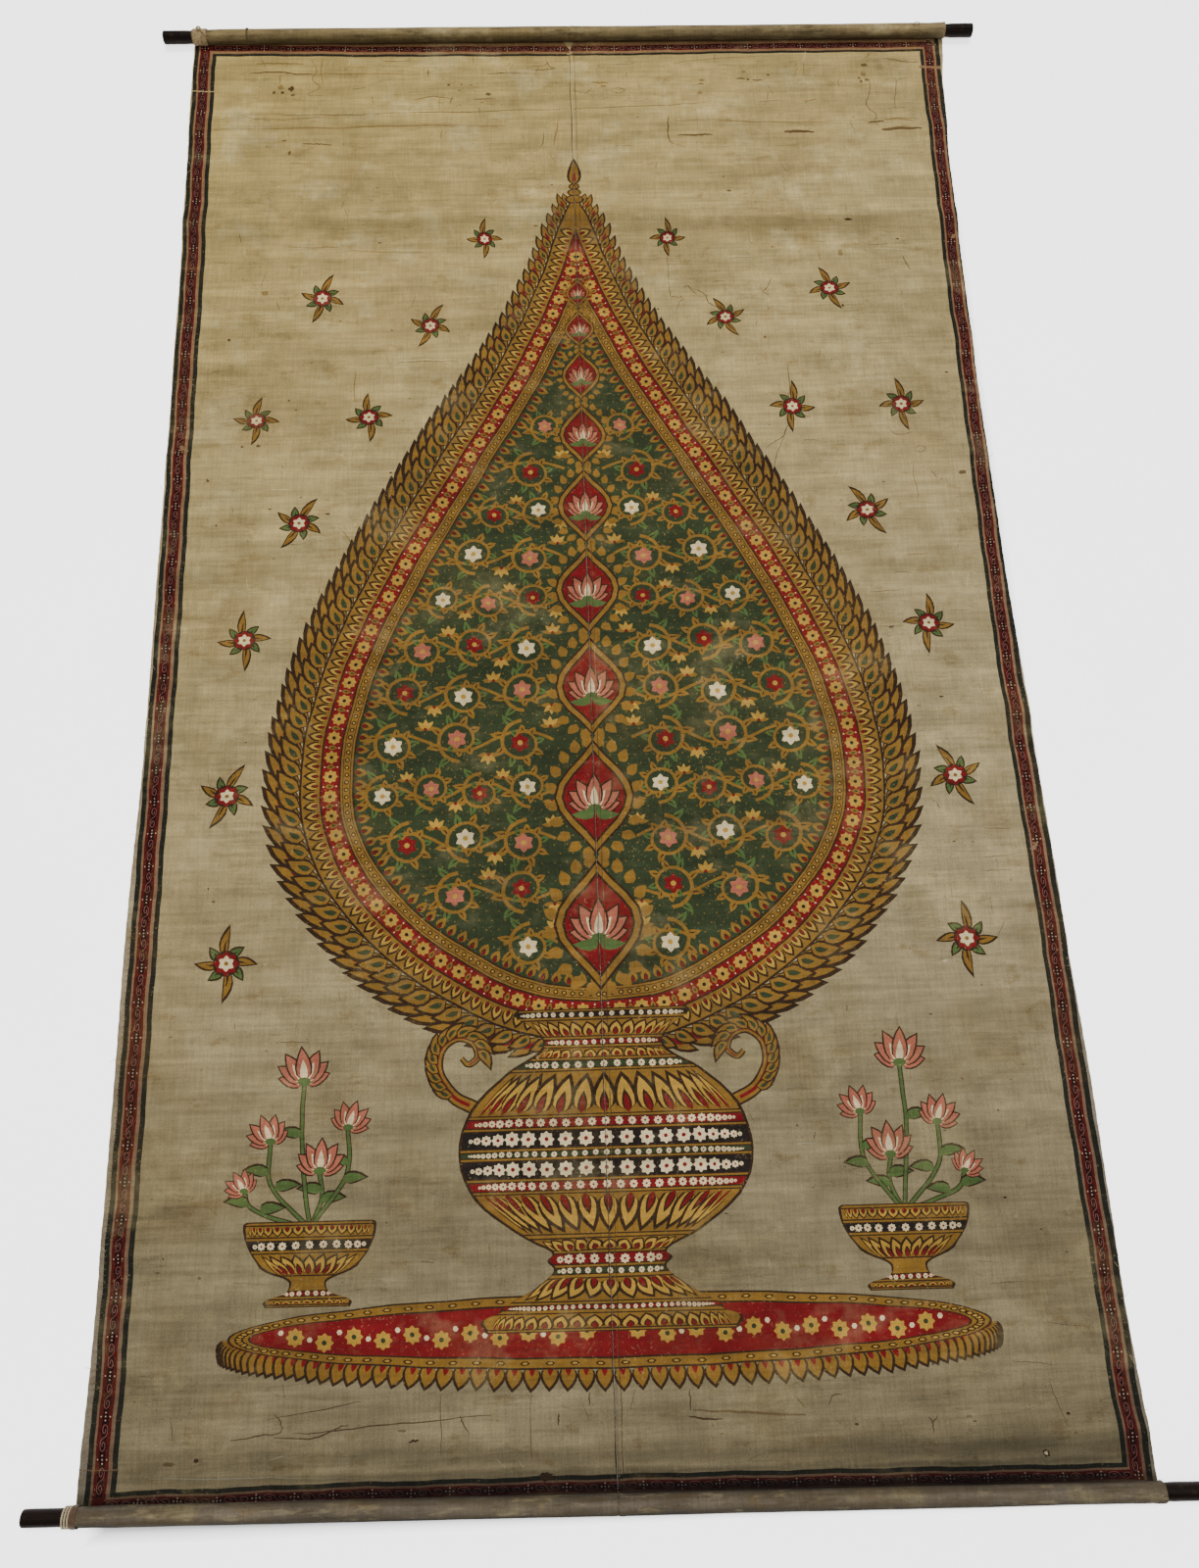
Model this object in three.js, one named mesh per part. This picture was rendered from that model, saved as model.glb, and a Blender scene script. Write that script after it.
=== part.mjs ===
// A painted cloth banner lying face up, with a wooden rod wound into each end.
// Millimetres, +Z up. The cloth lies on z = 0, +X runs across it and +Y points to its top rod.
// The origin is the middle of the whole banner, on the surface that it lies on.

import * as THREE from 'three';

// The cloth: two widths joined by a felled seam down the middle, hemmed along both sides.
const CLOTH_WIDTH = 1650;
const CLOTH_THICK = 1.2;
const SEAM_X = -5;
const PIECE_GAP = 0.3;
const PANEL_CELLS = 7;

// A doubled edge stands above the cloth where it lies flat, and outside it where it is wound.
const DOUBLED = { width: 8, ramp: 3, flatRise: 0.9, woundRise: 0.5 };

// The rods, and the one turn of cloth wound round each.
const ROD_RADIUS = 12.5;
const ROD_SIDES = 24;
const ROD_CHAMFER = 1.6;
const TOP_ROD_LENGTH = 1775;
const BOTTOM_ROD_LENGTH = 1795;
const ROD_SLACK = 0.5;
const WOUND_DEGREES = 330;
const WOUND_STEPS = 18;
const WOUND_EASE = 40;
const ROLL_RADIUS = ROD_RADIUS + ROD_SLACK + CLOTH_THICK;

// Where the rolls lie: the bottom one lies a little askew, and ties keep both off the surface.
const TOP_ROLL = { y: 1438.5, slant: 0, outward: 1 };
const BOTTOM_ROLL = { y: -1424, slant: -0.0175, outward: -1 };
const ROLL_LIFT = 2.5;
const ROLL_APPROACH = 38;
const AXIS_Z = ROLL_LIFT + ROLL_RADIUS;

// How far each side edge lies in from half the cloth's width, from the top roll to the bottom one.
const EDGES = [
  { y: TOP_ROLL.y, left: 0, right: 0 },
  { y: 1290, left: 0, right: 13 },
  { y: 1080, left: 4, right: 23 },
  { y: 780, left: 8, right: 28 },
  { y: 500, left: 10, right: 31 },
  { y: 150, left: 10, right: 29 },
  { y: -170, left: 12, right: 23 },
  { y: -540, left: 5, right: 16 },
  { y: -870, left: 6, right: 8 },
  { y: -1120, left: 6, right: 7 },
  { y: BOTTOM_ROLL.y, left: 0, right: -3 },
];

// The low folds across the cloth: where each crosses the middle, its rise, half its width, the
// share of that rise at the left and right edges, and its slant.
const FOLDS = [
  { y: 1362, rise: 3.0, half: 30, left: 0.6, right: 1.0, slant: 0.002 },
  { y: 1196, rise: 3.0, half: 46, left: 0.3, right: 1.0, slant: -0.004 },
  { y: 950, rise: 6.0, half: 52, left: 0.8, right: 1.0, slant: -0.008 },
  { y: 628, rise: 3.6, half: 72, left: 0.6, right: 1.0, slant: 0.02 },
  { y: 392, rise: 2.6, half: 50, left: 1.0, right: 0.7, slant: 0.004 },
  { y: -166, rise: 4.5, half: 56, left: 0.6, right: 1.0, slant: 0.003 },
  { y: -580, rise: 2.4, half: 42, left: 0.2, right: 1.0, slant: 0.004 },
  { y: -1030, rise: 2.6, half: 60, left: 1.0, right: 0.4, slant: -0.006 },
  { y: -1340, rise: 4.0, half: 34, left: 0.3, right: 1.0, slant: BOTTOM_ROLL.slant },
];
const FOLD_STEPS = [-1, -0.5, 0, 0.5, 1];
const APPROACH_STEPS = [0, 0.25, 0.5, 0.75, 1];

// What is tied round the ends. Each winding starts at x, and its turns lie side by side. One round a
// roll is sewn through the cloth at its two ends, at angles counted from the roll's underside.
const TOP_LEFT_TIE = {
  x: -822, width: 29, thick: 1.4, turns: 4, sewn: true, knot: { rise: 6, along: 13, spread: 7 },
};
const TOP_LEFT_THREAD = {
  x: -707, width: 4, thick: 1.1, turns: 1, sewn: true, knot: { rise: 2, along: 2, spread: 3 },
};
const BOTTOM_LEFT_BAND = { x: -823.5, width: 9, thick: 1.1, turns: 1, sewn: true };
const BOTTOM_LEFT_CORD = { x: -838.5, width: 12.5, thick: 2.9, turns: 3, sewn: false };
const SEWN_ARC = [5, 318];
const FULL_TURN = 2 * Math.PI;
const WINDING_STEPS = 32;
const TURN_STEPS = 4;
const TURN_VALLEY = 0.55;
const KNOT_ANGLE = Math.PI * 0.92;

// A loop of thread that stands on the top roll, narrower at its feet and leaning outward.
const THREAD_LOOP = { x: 760, span: 13, feet: 6.5, rise: 7, lean: 2, radius: 0.8, sides: 6, steps: 14 };

const cloth = (color) => new THREE.MeshStandardMaterial({ color, roughness: 0.9, metalness: 0 });
const PAINTED_CLOTH = cloth(0xb3a27c);
const CREAM_CORD = cloth(0xb5a282);
const GOLD_TAPE = cloth(0x9c8350);
const BROWN_TAPE = cloth(0x5c3d20);
const DARK_WOOD = new THREE.MeshStandardMaterial({ color: 0x1c110b, roughness: 0.45, metalness: 0 });

const banner = new THREE.Group();

function addMesh(name, geometry, material) {
  geometry.computeVertexNormals();
  const mesh = new THREE.Mesh(geometry, material);
  mesh.name = name;
  banner.add(mesh);
  return mesh;
}

function indexedGeometry(positions, index) {
  const geometry = new THREE.BufferGeometry();
  geometry.setAttribute('position', new THREE.Float32BufferAttribute(positions, 3));
  geometry.setIndex(index);
  return geometry;
}

// A column of a table, read smoothly at y between the table's rows, which run from high y to low.
function between(rows, column, y) {
  const next = rows.findIndex((row) => row.y <= y);
  if (next === 0) return rows[0][column];
  if (next < 0) return rows.at(-1)[column];
  const above = rows[next - 1];
  const below = rows[next];
  const share = THREE.MathUtils.smoothstep(y, below.y, above.y);
  return THREE.MathUtils.lerp(below[column], above[column], share);
}

// The slant of a line across the cloth: that of the folds, and of the rolls at either end.
const SLANTS = [TOP_ROLL, ...FOLDS, BOTTOM_ROLL];

// How far a line across the cloth lies from the axis of the nearer roll.
const toRoll = (y) => Math.min(TOP_ROLL.y - y, y - BOTTOM_ROLL.y);

// How high the cloth lies: its folds, and its climb to the rolls.
function heightAt(y, x) {
  const across = THREE.MathUtils.clamp(x / CLOTH_WIDTH + 0.5, 0, 1);
  let height = 0;
  for (const fold of FOLDS) {
    const away = Math.min(Math.abs(y - fold.y) / fold.half, 1);
    const share = THREE.MathUtils.lerp(fold.left, fold.right, across);
    height += fold.rise * share * (1 + Math.cos(Math.PI * away)) / 2;
  }
  return height + ROLL_LIFT * (1 - THREE.MathUtils.smoothstep(toRoll(y), 0, ROLL_APPROACH));
}

// A point round a roll's axis, at an angle counted from the roll's underside by its outer side.
function onCircle(roll, x, radius, angle) {
  const y = roll.y + roll.slant * x + roll.outward * radius * Math.sin(angle);
  return [x, y, AXIS_Z - radius * Math.cos(angle)];
}

// One line across the cloth where it lies: the reverse is below and the painted face above.
function flatLine(y) {
  const full = THREE.MathUtils.smoothstep(toRoll(y), ROLL_RADIUS, ROLL_APPROACH);
  return {
    y,
    point: (x, doubled, face) => {
      const rise = CLOTH_THICK + doubled * full * DOUBLED.flatRise;
      return [x, y + between(SLANTS, 'slant', y) * x, heightAt(y, x) + face * rise];
    },
  };
}

// One line across the cloth where it is wound: the reverse is outside and the painted face inside.
function woundLine(roll, turn) {
  const angle = THREE.MathUtils.degToRad(turn);
  const fromEnds = Math.min(turn, WOUND_DEGREES - turn);
  const full = THREE.MathUtils.smoothstep(fromEnds, 0, WOUND_EASE);
  return {
    y: roll.y,
    point: (x, doubled, face) => {
      const outside = ROLL_RADIUS + doubled * full * DOUBLED.woundRise;
      const radius = face ? ROLL_RADIUS - CLOTH_THICK : outside;
      return onCircle(roll, x, radius, angle);
    },
  };
}

// The cloth's lines in order: out of the top roll, down the banner and into the bottom roll.
function clothLines() {
  const turns = Array.from({ length: WOUND_STEPS }, (_, i) => WOUND_DEGREES * (i + 1) / WOUND_STEPS);
  const heights = FOLDS.flatMap((fold) => FOLD_STEPS.map((step) => fold.y + step * fold.half));
  for (const share of APPROACH_STEPS) {
    heights.push(TOP_ROLL.y - share * ROLL_APPROACH, BOTTOM_ROLL.y + share * ROLL_APPROACH);
  }
  heights.sort((a, b) => b - a);
  return [
    ...turns.toReversed().map((turn) => woundLine(TOP_ROLL, turn)),
    ...heights.map(flatLine),
    ...turns.map((turn) => woundLine(BOTTOM_ROLL, turn)),
  ];
}

// The columns of a panel from its seam to its hem: x at a height, and whether the cloth is doubled.
function panelColumns(side, felled) {
  const edge = (y) => side * (CLOTH_WIDTH / 2 - between(EDGES, side < 0 ? 'left' : 'right', y));
  const seam = SEAM_X + side * PIECE_GAP / 2;
  const inner = felled ? [[0, 1], [DOUBLED.width, 1], [DOUBLED.width + DOUBLED.ramp, 0]] : [[0, 0]];
  const first = inner.at(-1)[0];
  const last = DOUBLED.width + DOUBLED.ramp;
  const columns = inner.map(([inset, doubled]) => ({ x: () => seam + side * inset, doubled }));
  for (let i = 1; i < PANEL_CELLS; i += 1) {
    const share = i / PANEL_CELLS;
    const x = (y) => THREE.MathUtils.lerp(seam + side * first, edge(y) - side * last, share);
    columns.push({ x, doubled: 0 });
  }
  for (const [inset, doubled] of [[last, 0], [DOUBLED.width, 1], [0, 1]]) {
    columns.push({ x: (y) => edge(y) - side * inset, doubled });
  }
  return side < 0 ? columns.reverse() : columns;
}

// A closed sheet from its lines and columns: both faces, and a wall all round.
function sheetGeometry(lines, columns) {
  const positions = [];
  for (const face of [0, 1]) {
    for (const line of lines) {
      for (const column of columns) {
        positions.push(...line.point(column.x(line.y), column.doubled, face));
      }
    }
  }
  const index = [];
  const wide = columns.length;
  const at = (face, row, column) => (face * lines.length + row) * wide + column;
  const quad = (a, b, c, d) => index.push(a, b, c, a, c, d);
  for (let r = 1; r < lines.length; r += 1) {
    for (let c = 1; c < wide; c += 1) {
      quad(at(1, r - 1, c - 1), at(1, r, c - 1), at(1, r, c), at(1, r - 1, c));
      quad(at(0, r - 1, c - 1), at(0, r - 1, c), at(0, r, c), at(0, r, c - 1));
    }
    quad(at(0, r - 1, 0), at(0, r, 0), at(1, r, 0), at(1, r - 1, 0));
    quad(at(1, r - 1, wide - 1), at(1, r, wide - 1), at(0, r, wide - 1), at(0, r - 1, wide - 1));
  }
  const end = lines.length - 1;
  for (let c = 1; c < wide; c += 1) {
    quad(at(1, 0, c - 1), at(1, 0, c), at(0, 0, c), at(0, 0, c - 1));
    quad(at(0, end, c - 1), at(0, end, c), at(1, end, c), at(1, end, c - 1));
  }
  return indexedGeometry(positions, index);
}

// A round rod with its ends eased, along X.
function addRod(name, length, roll) {
  const half = length / 2;
  const profile = [
    new THREE.Vector2(0, -half),
    new THREE.Vector2(ROD_RADIUS - ROD_CHAMFER, -half),
    new THREE.Vector2(ROD_RADIUS, ROD_CHAMFER - half),
    new THREE.Vector2(ROD_RADIUS, half - ROD_CHAMFER),
    new THREE.Vector2(ROD_RADIUS - ROD_CHAMFER, half),
    new THREE.Vector2(0, half),
  ];
  const rod = addMesh(name, new THREE.LatheGeometry(profile, ROD_SIDES), DARK_WOOD);
  rod.position.set(0, roll.y, AXIS_Z);
  rod.rotation.z = Math.atan(roll.slant) - Math.PI / 2;
}

// The outside of a winding, at a share of its width and an angle: the ridges of its turns, and its knot.
function windingRadius(tie, insideRadius, share, angle) {
  const ridge = Math.abs(Math.sin(Math.PI * (share * tie.turns + angle / FULL_TURN)));
  const radius = insideRadius + tie.thick * THREE.MathUtils.lerp(TURN_VALLEY, 1, ridge);
  if (!tie.knot) return radius;
  const across = share * tie.width - tie.knot.along;
  const around = (angle - KNOT_ANGLE) * insideRadius;
  const away = Math.hypot(across, around) / tie.knot.spread;
  return radius + tie.knot.rise * Math.exp(-away * away);
}

// Cord or tape wound round a rod or a roll. On a roll it ends where it is sewn through the cloth.
function windingGeometry(tie, insideRadius, roll) {
  const [start, end] = tie.sewn ? SEWN_ARC.map(THREE.MathUtils.degToRad) : [0, FULL_TURN];
  const across = tie.turns * TURN_STEPS;
  const shares = Array.from({ length: across + 1 }, (_, j) => 1 - j / across);
  const rows = tie.sewn ? WINDING_STEPS + 1 : WINDING_STEPS;
  const ring = shares.length + 2;
  const positions = [];
  for (let i = 0; i < rows; i += 1) {
    const angle = THREE.MathUtils.lerp(start, end, i / WINDING_STEPS);
    const section = [[0, insideRadius], [1, insideRadius]];
    for (const share of shares) section.push([share, windingRadius(tie, insideRadius, share, angle)]);
    for (const [share, radius] of section) {
      positions.push(...onCircle(roll, tie.x + share * tie.width, radius, angle));
    }
  }
  const index = [];
  const at = (i, j) => (i % rows) * ring + (j % ring);
  const triangle = (a, b, c) => index.push(...(roll.outward > 0 ? [a, b, c] : [a, c, b]));
  for (let i = 0; i < WINDING_STEPS; i += 1) {
    for (let j = 0; j < ring; j += 1) {
      triangle(at(i, j), at(i, j + 1), at(i + 1, j + 1));
      triangle(at(i, j), at(i + 1, j + 1), at(i + 1, j));
    }
  }
  for (const [i, angle] of tie.sewn ? [[0, start], [WINDING_STEPS, end]] : []) {
    const outline = [new THREE.Vector2(0, insideRadius), new THREE.Vector2(tie.width, insideRadius)];
    for (const share of shares) {
      outline.push(new THREE.Vector2(share * tie.width, windingRadius(tie, insideRadius, share, angle)));
    }
    for (const [a, b, c] of THREE.ShapeUtils.triangulateShape(outline, [])) {
      if (i === 0) triangle(at(i, a), at(i, c), at(i, b));
      else triangle(at(i, a), at(i, b), at(i, c));
    }
  }
  return indexedGeometry(positions, index);
}

// The loop's thread as a tube along its curve, from foot to foot.
function threadLoopGeometry(loop, roll) {
  const foot = AXIS_Z + ROLL_RADIUS + PIECE_GAP;
  const at = (span, share) => {
    return new THREE.Vector3(loop.x + span / 2, roll.y + share * loop.lean, foot + share * loop.rise);
  };
  const path = new THREE.CatmullRomCurve3([
    at(-loop.feet, 0), at(-loop.span, 0.5), at(0, 1), at(loop.span, 0.5), at(loop.feet, 0),
  ]);
  const section = Array.from({ length: loop.sides }, (_, i) => {
    const angle = FULL_TURN * i / loop.sides;
    return new THREE.Vector2(loop.radius * Math.cos(angle), loop.radius * Math.sin(angle));
  });
  return new THREE.ExtrudeGeometry(new THREE.Shape(section), { steps: loop.steps, extrudePath: path });
}

const lines = clothLines();
addMesh('left_panel', sheetGeometry(lines, panelColumns(-1, false)), PAINTED_CLOTH);
addMesh('right_panel', sheetGeometry(lines, panelColumns(1, true)), PAINTED_CLOTH);

addRod('top_rod', TOP_ROD_LENGTH, TOP_ROLL);
addRod('bottom_rod', BOTTOM_ROD_LENGTH, BOTTOM_ROLL);

const onRod = ROD_RADIUS + PIECE_GAP;
const onRoll = ROLL_RADIUS + PIECE_GAP;
const onHem = onRoll + DOUBLED.woundRise;
addMesh('top_left_tie', windingGeometry(TOP_LEFT_TIE, onHem, TOP_ROLL), GOLD_TAPE);
addMesh('top_left_thread', windingGeometry(TOP_LEFT_THREAD, onRoll, TOP_ROLL), CREAM_CORD);
addMesh('top_right_loop', threadLoopGeometry(THREAD_LOOP, TOP_ROLL), CREAM_CORD);
addMesh('bottom_left_band', windingGeometry(BOTTOM_LEFT_BAND, onHem, BOTTOM_ROLL), BROWN_TAPE);
addMesh('bottom_left_cord', windingGeometry(BOTTOM_LEFT_CORD, onRod, BOTTOM_ROLL), CREAM_CORD);

export default banner;
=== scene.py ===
# A painted cloth banner lying face up, with a wooden rod wound into each end.
# The scene is in metres, +Z up. Sizes in this script are in millimetres, and MM turns them into metres.
# The cloth's own places are (x, v): x across it, and v along it, which is y where the cloth lies flat.

import math

import bpy
import numpy as np
from mathutils import Matrix, Vector
from mathutils.geometry import delaunay_2d_cdt


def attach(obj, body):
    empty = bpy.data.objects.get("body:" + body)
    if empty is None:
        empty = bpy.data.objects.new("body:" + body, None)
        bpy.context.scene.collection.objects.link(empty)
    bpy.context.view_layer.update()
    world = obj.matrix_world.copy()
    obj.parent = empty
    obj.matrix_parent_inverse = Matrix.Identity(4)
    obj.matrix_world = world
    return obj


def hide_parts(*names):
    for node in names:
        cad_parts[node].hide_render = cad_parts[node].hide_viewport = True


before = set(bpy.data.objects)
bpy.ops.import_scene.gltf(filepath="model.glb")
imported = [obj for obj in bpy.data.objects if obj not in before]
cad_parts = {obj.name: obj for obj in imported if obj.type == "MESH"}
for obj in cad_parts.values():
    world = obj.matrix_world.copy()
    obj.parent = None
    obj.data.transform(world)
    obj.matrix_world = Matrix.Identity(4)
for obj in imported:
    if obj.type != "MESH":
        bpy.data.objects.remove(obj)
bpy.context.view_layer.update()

MM = 0.001
BODY = "root"
RNG = np.random.default_rng(7)
# Points of the painting nearer than this are one, and a length is never taken as less than TINY.
MERGE = 1e-3
TINY = 1e-9

# The cloth and its rods, as in the solids, where only the cloth is thicker and its doubled edges higher.
CLOTH_WIDTH = 1650
SEAM_X = -5
SEAM_GAP = 0.3
THICK = 0.8
DOUBLED = {"width": 8, "ramp": 3, "flat_rise": 0.7, "wound_rise": 0.5}
ROD_RADIUS = 12.5
ROLL_RADIUS = 14.2
WOUND_DEGREES = 330
# The angle over which the slack of the wound cloth begins and ends.
ROLL_EASE = 0.6
TOP_ROLL = {"y": 1438.5, "slant": 0.0, "outward": 1}
BOTTOM_ROLL = {"y": -1424.0, "slant": -0.0175, "outward": -1}
# Each rod's length, and how much its bare left and right ends swell, as a share of its radius.
TOP_ROD = {"roll": TOP_ROLL, "length": 1775, "swell": (0.05, 0.10)}
BOTTOM_ROD = {"roll": BOTTOM_ROLL, "length": 1795, "swell": (0.0, 0.05)}
ROLL_LIFT = 2.5
ROLL_APPROACH = 38
AXIS_Z = ROLL_LIFT + ROLL_RADIUS
WIND_RADIUS = ROLL_RADIUS - THICK / 2
WOUND_LENGTH = math.radians(WOUND_DEGREES) * WIND_RADIUS
TIED_WIDTH = 36


def table(columns, rows):
    """A short table as a list of dicts, one for each row."""
    names = columns.split()
    return [dict(zip(names, row)) for row in rows]


def as_points(*coordinates):
    """Points from their coordinates, one in each row."""
    return np.stack(np.broadcast_arrays(*coordinates), axis=1)


def direction(angle):
    """A unit vector at an angle, or one in each row for many angles."""
    return np.stack([np.cos(angle), np.sin(angle)], axis=-1)


def left_of(vectors):
    """Vectors turned a quarter to the left."""
    return vectors[..., ::-1] * (-1, 1)


def unit(vectors):
    return vectors / (np.linalg.norm(vectors, axis=-1, keepdims=True) + TINY)


def headings(points):
    """The unit direction of a line at each of its points."""
    return unit(np.gradient(points, axis=0))


def circling(steps):
    """Angles evenly round a circle."""
    return np.arange(steps) * 2 * np.pi / steps


# How far each side edge lies in from half the cloth's width.
EDGES = table("y left right", [
    (1438.5, 0, 0), (1290, 0, 13), (1080, 4, 23), (780, 8, 28), (500, 10, 31), (150, 10, 29),
    (-170, 12, 23), (-540, 5, 16), (-870, 6, 8), (-1120, 6, 7), (-1424, 0, -3),
])

# The low folds across the cloth, as in the solids.
FOLDS = table("y rise half left right slant", [
    (1362, 3.0, 30, 0.6, 1.0, 0.002),
    (1196, 3.0, 46, 0.3, 1.0, -0.004),
    (950, 6.0, 52, 0.8, 1.0, -0.008),
    (628, 3.6, 72, 0.6, 1.0, 0.02),
    (392, 2.6, 50, 1.0, 0.7, 0.004),
    (-166, 4.5, 56, 0.6, 1.0, 0.003),
    (-580, 2.4, 42, 0.2, 1.0, 0.004),
    (-1030, 2.6, 60, 1.0, 0.4, -0.006),
    (-1340, 4.0, 34, 0.3, 1.0, -0.0175),
])
SLANTS = [TOP_ROLL, *FOLDS, BOTTOM_ROLL]

# Sharper creases that stand on the painted face: where each starts and ends, its place along the
# cloth, its rise, half its width, and its slope.
CREASES = table("x0 x1 y rise half slope", [
    (-760, 770, 962, 1.5, 9, -0.008),
    (-300, 780, 928, 0.8, 7, -0.012),
    (-90, 800, 1196, 1.1, 8, -0.010),
    (190, 310, 1176, 0.9, 6, 0.015),
    (430, 530, 1182, 0.9, 6, -0.020),
    (610, 770, 1188, 1.1, 7, -0.060),
    (330, 770, 640, 1.0, 12, 0.020),
    (-770, -420, 604, 0.8, 12, 0.010),
    (-760, 500, 391, 0.6, 9, 0.002),
    (330, 780, -160, 1.3, 8, 0.004),
    (-770, -360, -172, 0.9, 8, -0.004),
    (580, 780, -580, 1.2, 6, 0.006),
    (-780, -450, -1022, 0.9, 10, -0.006),
    (-780, 800, -1378, 1.0, 7, 0.004),
    (60, 800, -1346, 1.2, 8, -0.004),
    (-780, -480, -1290, 0.6, 8, 0.030),
    (-520, 640, 1322, 0.5, 6, 0.004),
    (-760, -160, 1288, 0.5, 6, -0.006),
    (120, 700, 1262, 0.5, 6, 0.008),
    (-640, 240, 1150, 0.5, 7, 0.003),
    (-760, 780, 1390, 0.7, 6, 0.000),
    (-700, -320, 1262, 0.9, 4, 0.018),
    (-620, -250, 1238, 0.8, 4, 0.022),
    (-560, -430, 1214, 0.8, 4, -0.010),
    (-730, -480, 1226, 0.7, 5, 0.060),
    (-380, -60, 1338, 0.7, 4, -0.008),
    (30, 330, 1352, 0.7, 4, 0.010),
    (300, 640, 1300, 0.8, 4, -0.014),
    (60, 360, 1238, 0.6, 4, 0.012),
    (420, 740, 1346, 0.7, 4, 0.006),
    (-720, -330, -1318, 1.0, 4, 0.050),
    (-700, -420, -1332, 0.8, 4, -0.040),
    (-480, -200, -1344, 0.8, 5, 0.030),
    (-240, 120, -1352, 0.7, 5, -0.010),
    (200, 560, -1318, 0.7, 5, 0.020),
])
CREASE_TAPER = 60

# A soft cockle over the whole cloth: wavelengths across and along, height and phase.
COCKLE = table("across along rise phase", [
    (610, 260, 0.30, 0.4), (410, 900, 0.28, 1.7), (930, 190, 0.26, 2.9), (290, 430, 0.14, 4.1),
])

# Paints as sRGB, and how much gloss each has. The cloth's own colours and its stains have none.
PAINTS = {
    "ground": ((163, 143, 94), 0.0),
    "hem": ((160, 142, 104), 0.0),
    "reverse": ((122, 107, 78), 0.0),
    "edge_line": ((27, 28, 20), 0.1),
    "tan": ((122, 92, 64), 0.03),
    "border_red": ((70, 14, 9), 0.1),
    "maroon": ((27, 5, 4), 0.1),
    "scroll_pink": ((118, 68, 60), 0.1),
    "dot": ((170, 136, 112), 0.1),
    "line": ((44, 29, 16), 0.1),
    "gold": ((116, 83, 23), 0.7),
    "pale_gold": ((158, 120, 40), 0.8),
    "green": ((43, 51, 29), 0.1),
    "leaf": ((68, 86, 42), 0.1),
    "red": ((104, 16, 18), 0.1),
    "black": ((30, 23, 19), 0.1),
    "cream": ((200, 180, 134), 0.1),
    "pink": ((152, 86, 64), 0.1),
    # The crack and rub paints also serve as painted shade and painted highlight along creases and the seam.
    "crack": ((94, 74, 44), 0.0),
    "speck": ((74, 54, 30), 0.0),
    "stain": ((128, 104, 62), 0.0),
    "rub": ((190, 174, 126), 0.0),
}


def smoothstep(share):
    share = np.clip(share, 0.0, 1.0)
    return share * share * (3.0 - 2.0 * share)


def between(rows, column, y):
    """A column of a table, read smoothly at y between the table's rows, which run from high y to low."""
    ys = np.array([row["y"] for row in rows[::-1]])
    values = np.array([row[column] for row in rows[::-1]])
    y = np.clip(y, ys[0], ys[-1])
    upper = np.clip(np.searchsorted(ys, y), 1, len(ys) - 1)
    share = smoothstep((y - ys[upper - 1]) / (ys[upper] - ys[upper - 1]))
    return values[upper - 1] * (1 - share) + values[upper] * share


def side_edge(side, v):
    """x of the cloth's left (-1) or right (1) edge."""
    inset = between(EDGES, "left" if side < 0 else "right", v)
    ragged = 0.5 * np.sin(v / 7.3 + side) + 0.4 * np.sin(v / 3.1 + 2 * side)
    return side * (CLOTH_WIDTH / 2 - inset) + 0.5 * ragged


def to_roll(v):
    return np.minimum(TOP_ROLL["y"] - v, v - BOTTOM_ROLL["y"])


def doubled_at(x, v):
    """1 where the cloth is doubled, in its hems and its felled seam, and 0 elsewhere."""
    width, ramp = DOUBLED["width"], DOUBLED["ramp"]
    from_left = x - side_edge(-1, v)
    from_right = side_edge(1, v) - x
    hem = 1 - smoothstep((np.minimum(from_left, from_right) - width) / ramp)
    felled = np.where(x > SEAM_X, 1 - smoothstep((x - SEAM_X - width) / ramp), 0.0)
    return np.maximum(hem, felled)


def base_height(x, v):
    """How high the cloth's underside lies: folds, cockle, and the climb to the rolls."""
    across = np.clip(x / CLOTH_WIDTH + 0.5, 0, 1)
    height = np.zeros_like(v)
    for fold in FOLDS:
        away = np.minimum(np.abs(v - fold["y"]) / fold["half"], 1)
        share = fold["left"] + (fold["right"] - fold["left"]) * across
        height += fold["rise"] * share * (1 + np.cos(np.pi * away)) / 2
    free = smoothstep(to_roll(v) / ROLL_APPROACH)
    for wave in COCKLE:
        bend = np.sin(2 * np.pi * x / wave["across"] + wave["phase"])
        swell = np.sin(2 * np.pi * v / wave["along"] + 2 * wave["phase"])
        height += free * wave["rise"] * (1 + bend * swell)
    return height + ROLL_LIFT * (1 - free)


def crease_line(crease, x):
    """How far along the cloth a crease lies at x."""
    middle = (crease["x0"] + crease["x1"]) / 2
    sway = 2.2 * np.sin(x / 47 + crease["y"]) + 1.2 * np.sin(x / 19 + 2 * crease["y"])
    return crease["y"] + crease["slope"] * (x - middle) + sway


def crease_height(x, v):
    height = np.zeros_like(v)
    for crease in CREASES:
        ends = np.minimum(x - crease["x0"], crease["x1"] - x)
        away = (v - crease_line(crease, x)) / crease["half"]
        height += crease["rise"] * smoothstep(ends / CREASE_TAPER) * np.exp(-away * away)
    return height


def wrinkles(x, angle):
    """How far the wound cloth stands out from its roll: long slack pleats, and gathers at its right end."""
    pleat = np.sin(angle * 4 + 0.9 * np.sin(x / 97) + x / 260)
    ripple = np.sin(x / 23 + 3 * np.sin(angle)) * np.sin(angle * 3 + x / 57)
    sag = np.sin(x / 141 + 1.3) * np.sin(x / 61 + angle)
    near_end = np.exp(-(CLOTH_WIDTH / 2 - x) / 30)
    gather = np.sin(angle * 5 - x / 4.6 + 1.5 * np.sin(x / 9))
    slack = 0.34 * (1 + pleat) + 0.16 * (1 + ripple) + 0.2 * (1 + sag) + 0.6 * near_end * (1 + gather)
    return slack * smoothstep((x + CLOTH_WIDTH / 2 + 6 - TIED_WIDTH) / 40)


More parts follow.
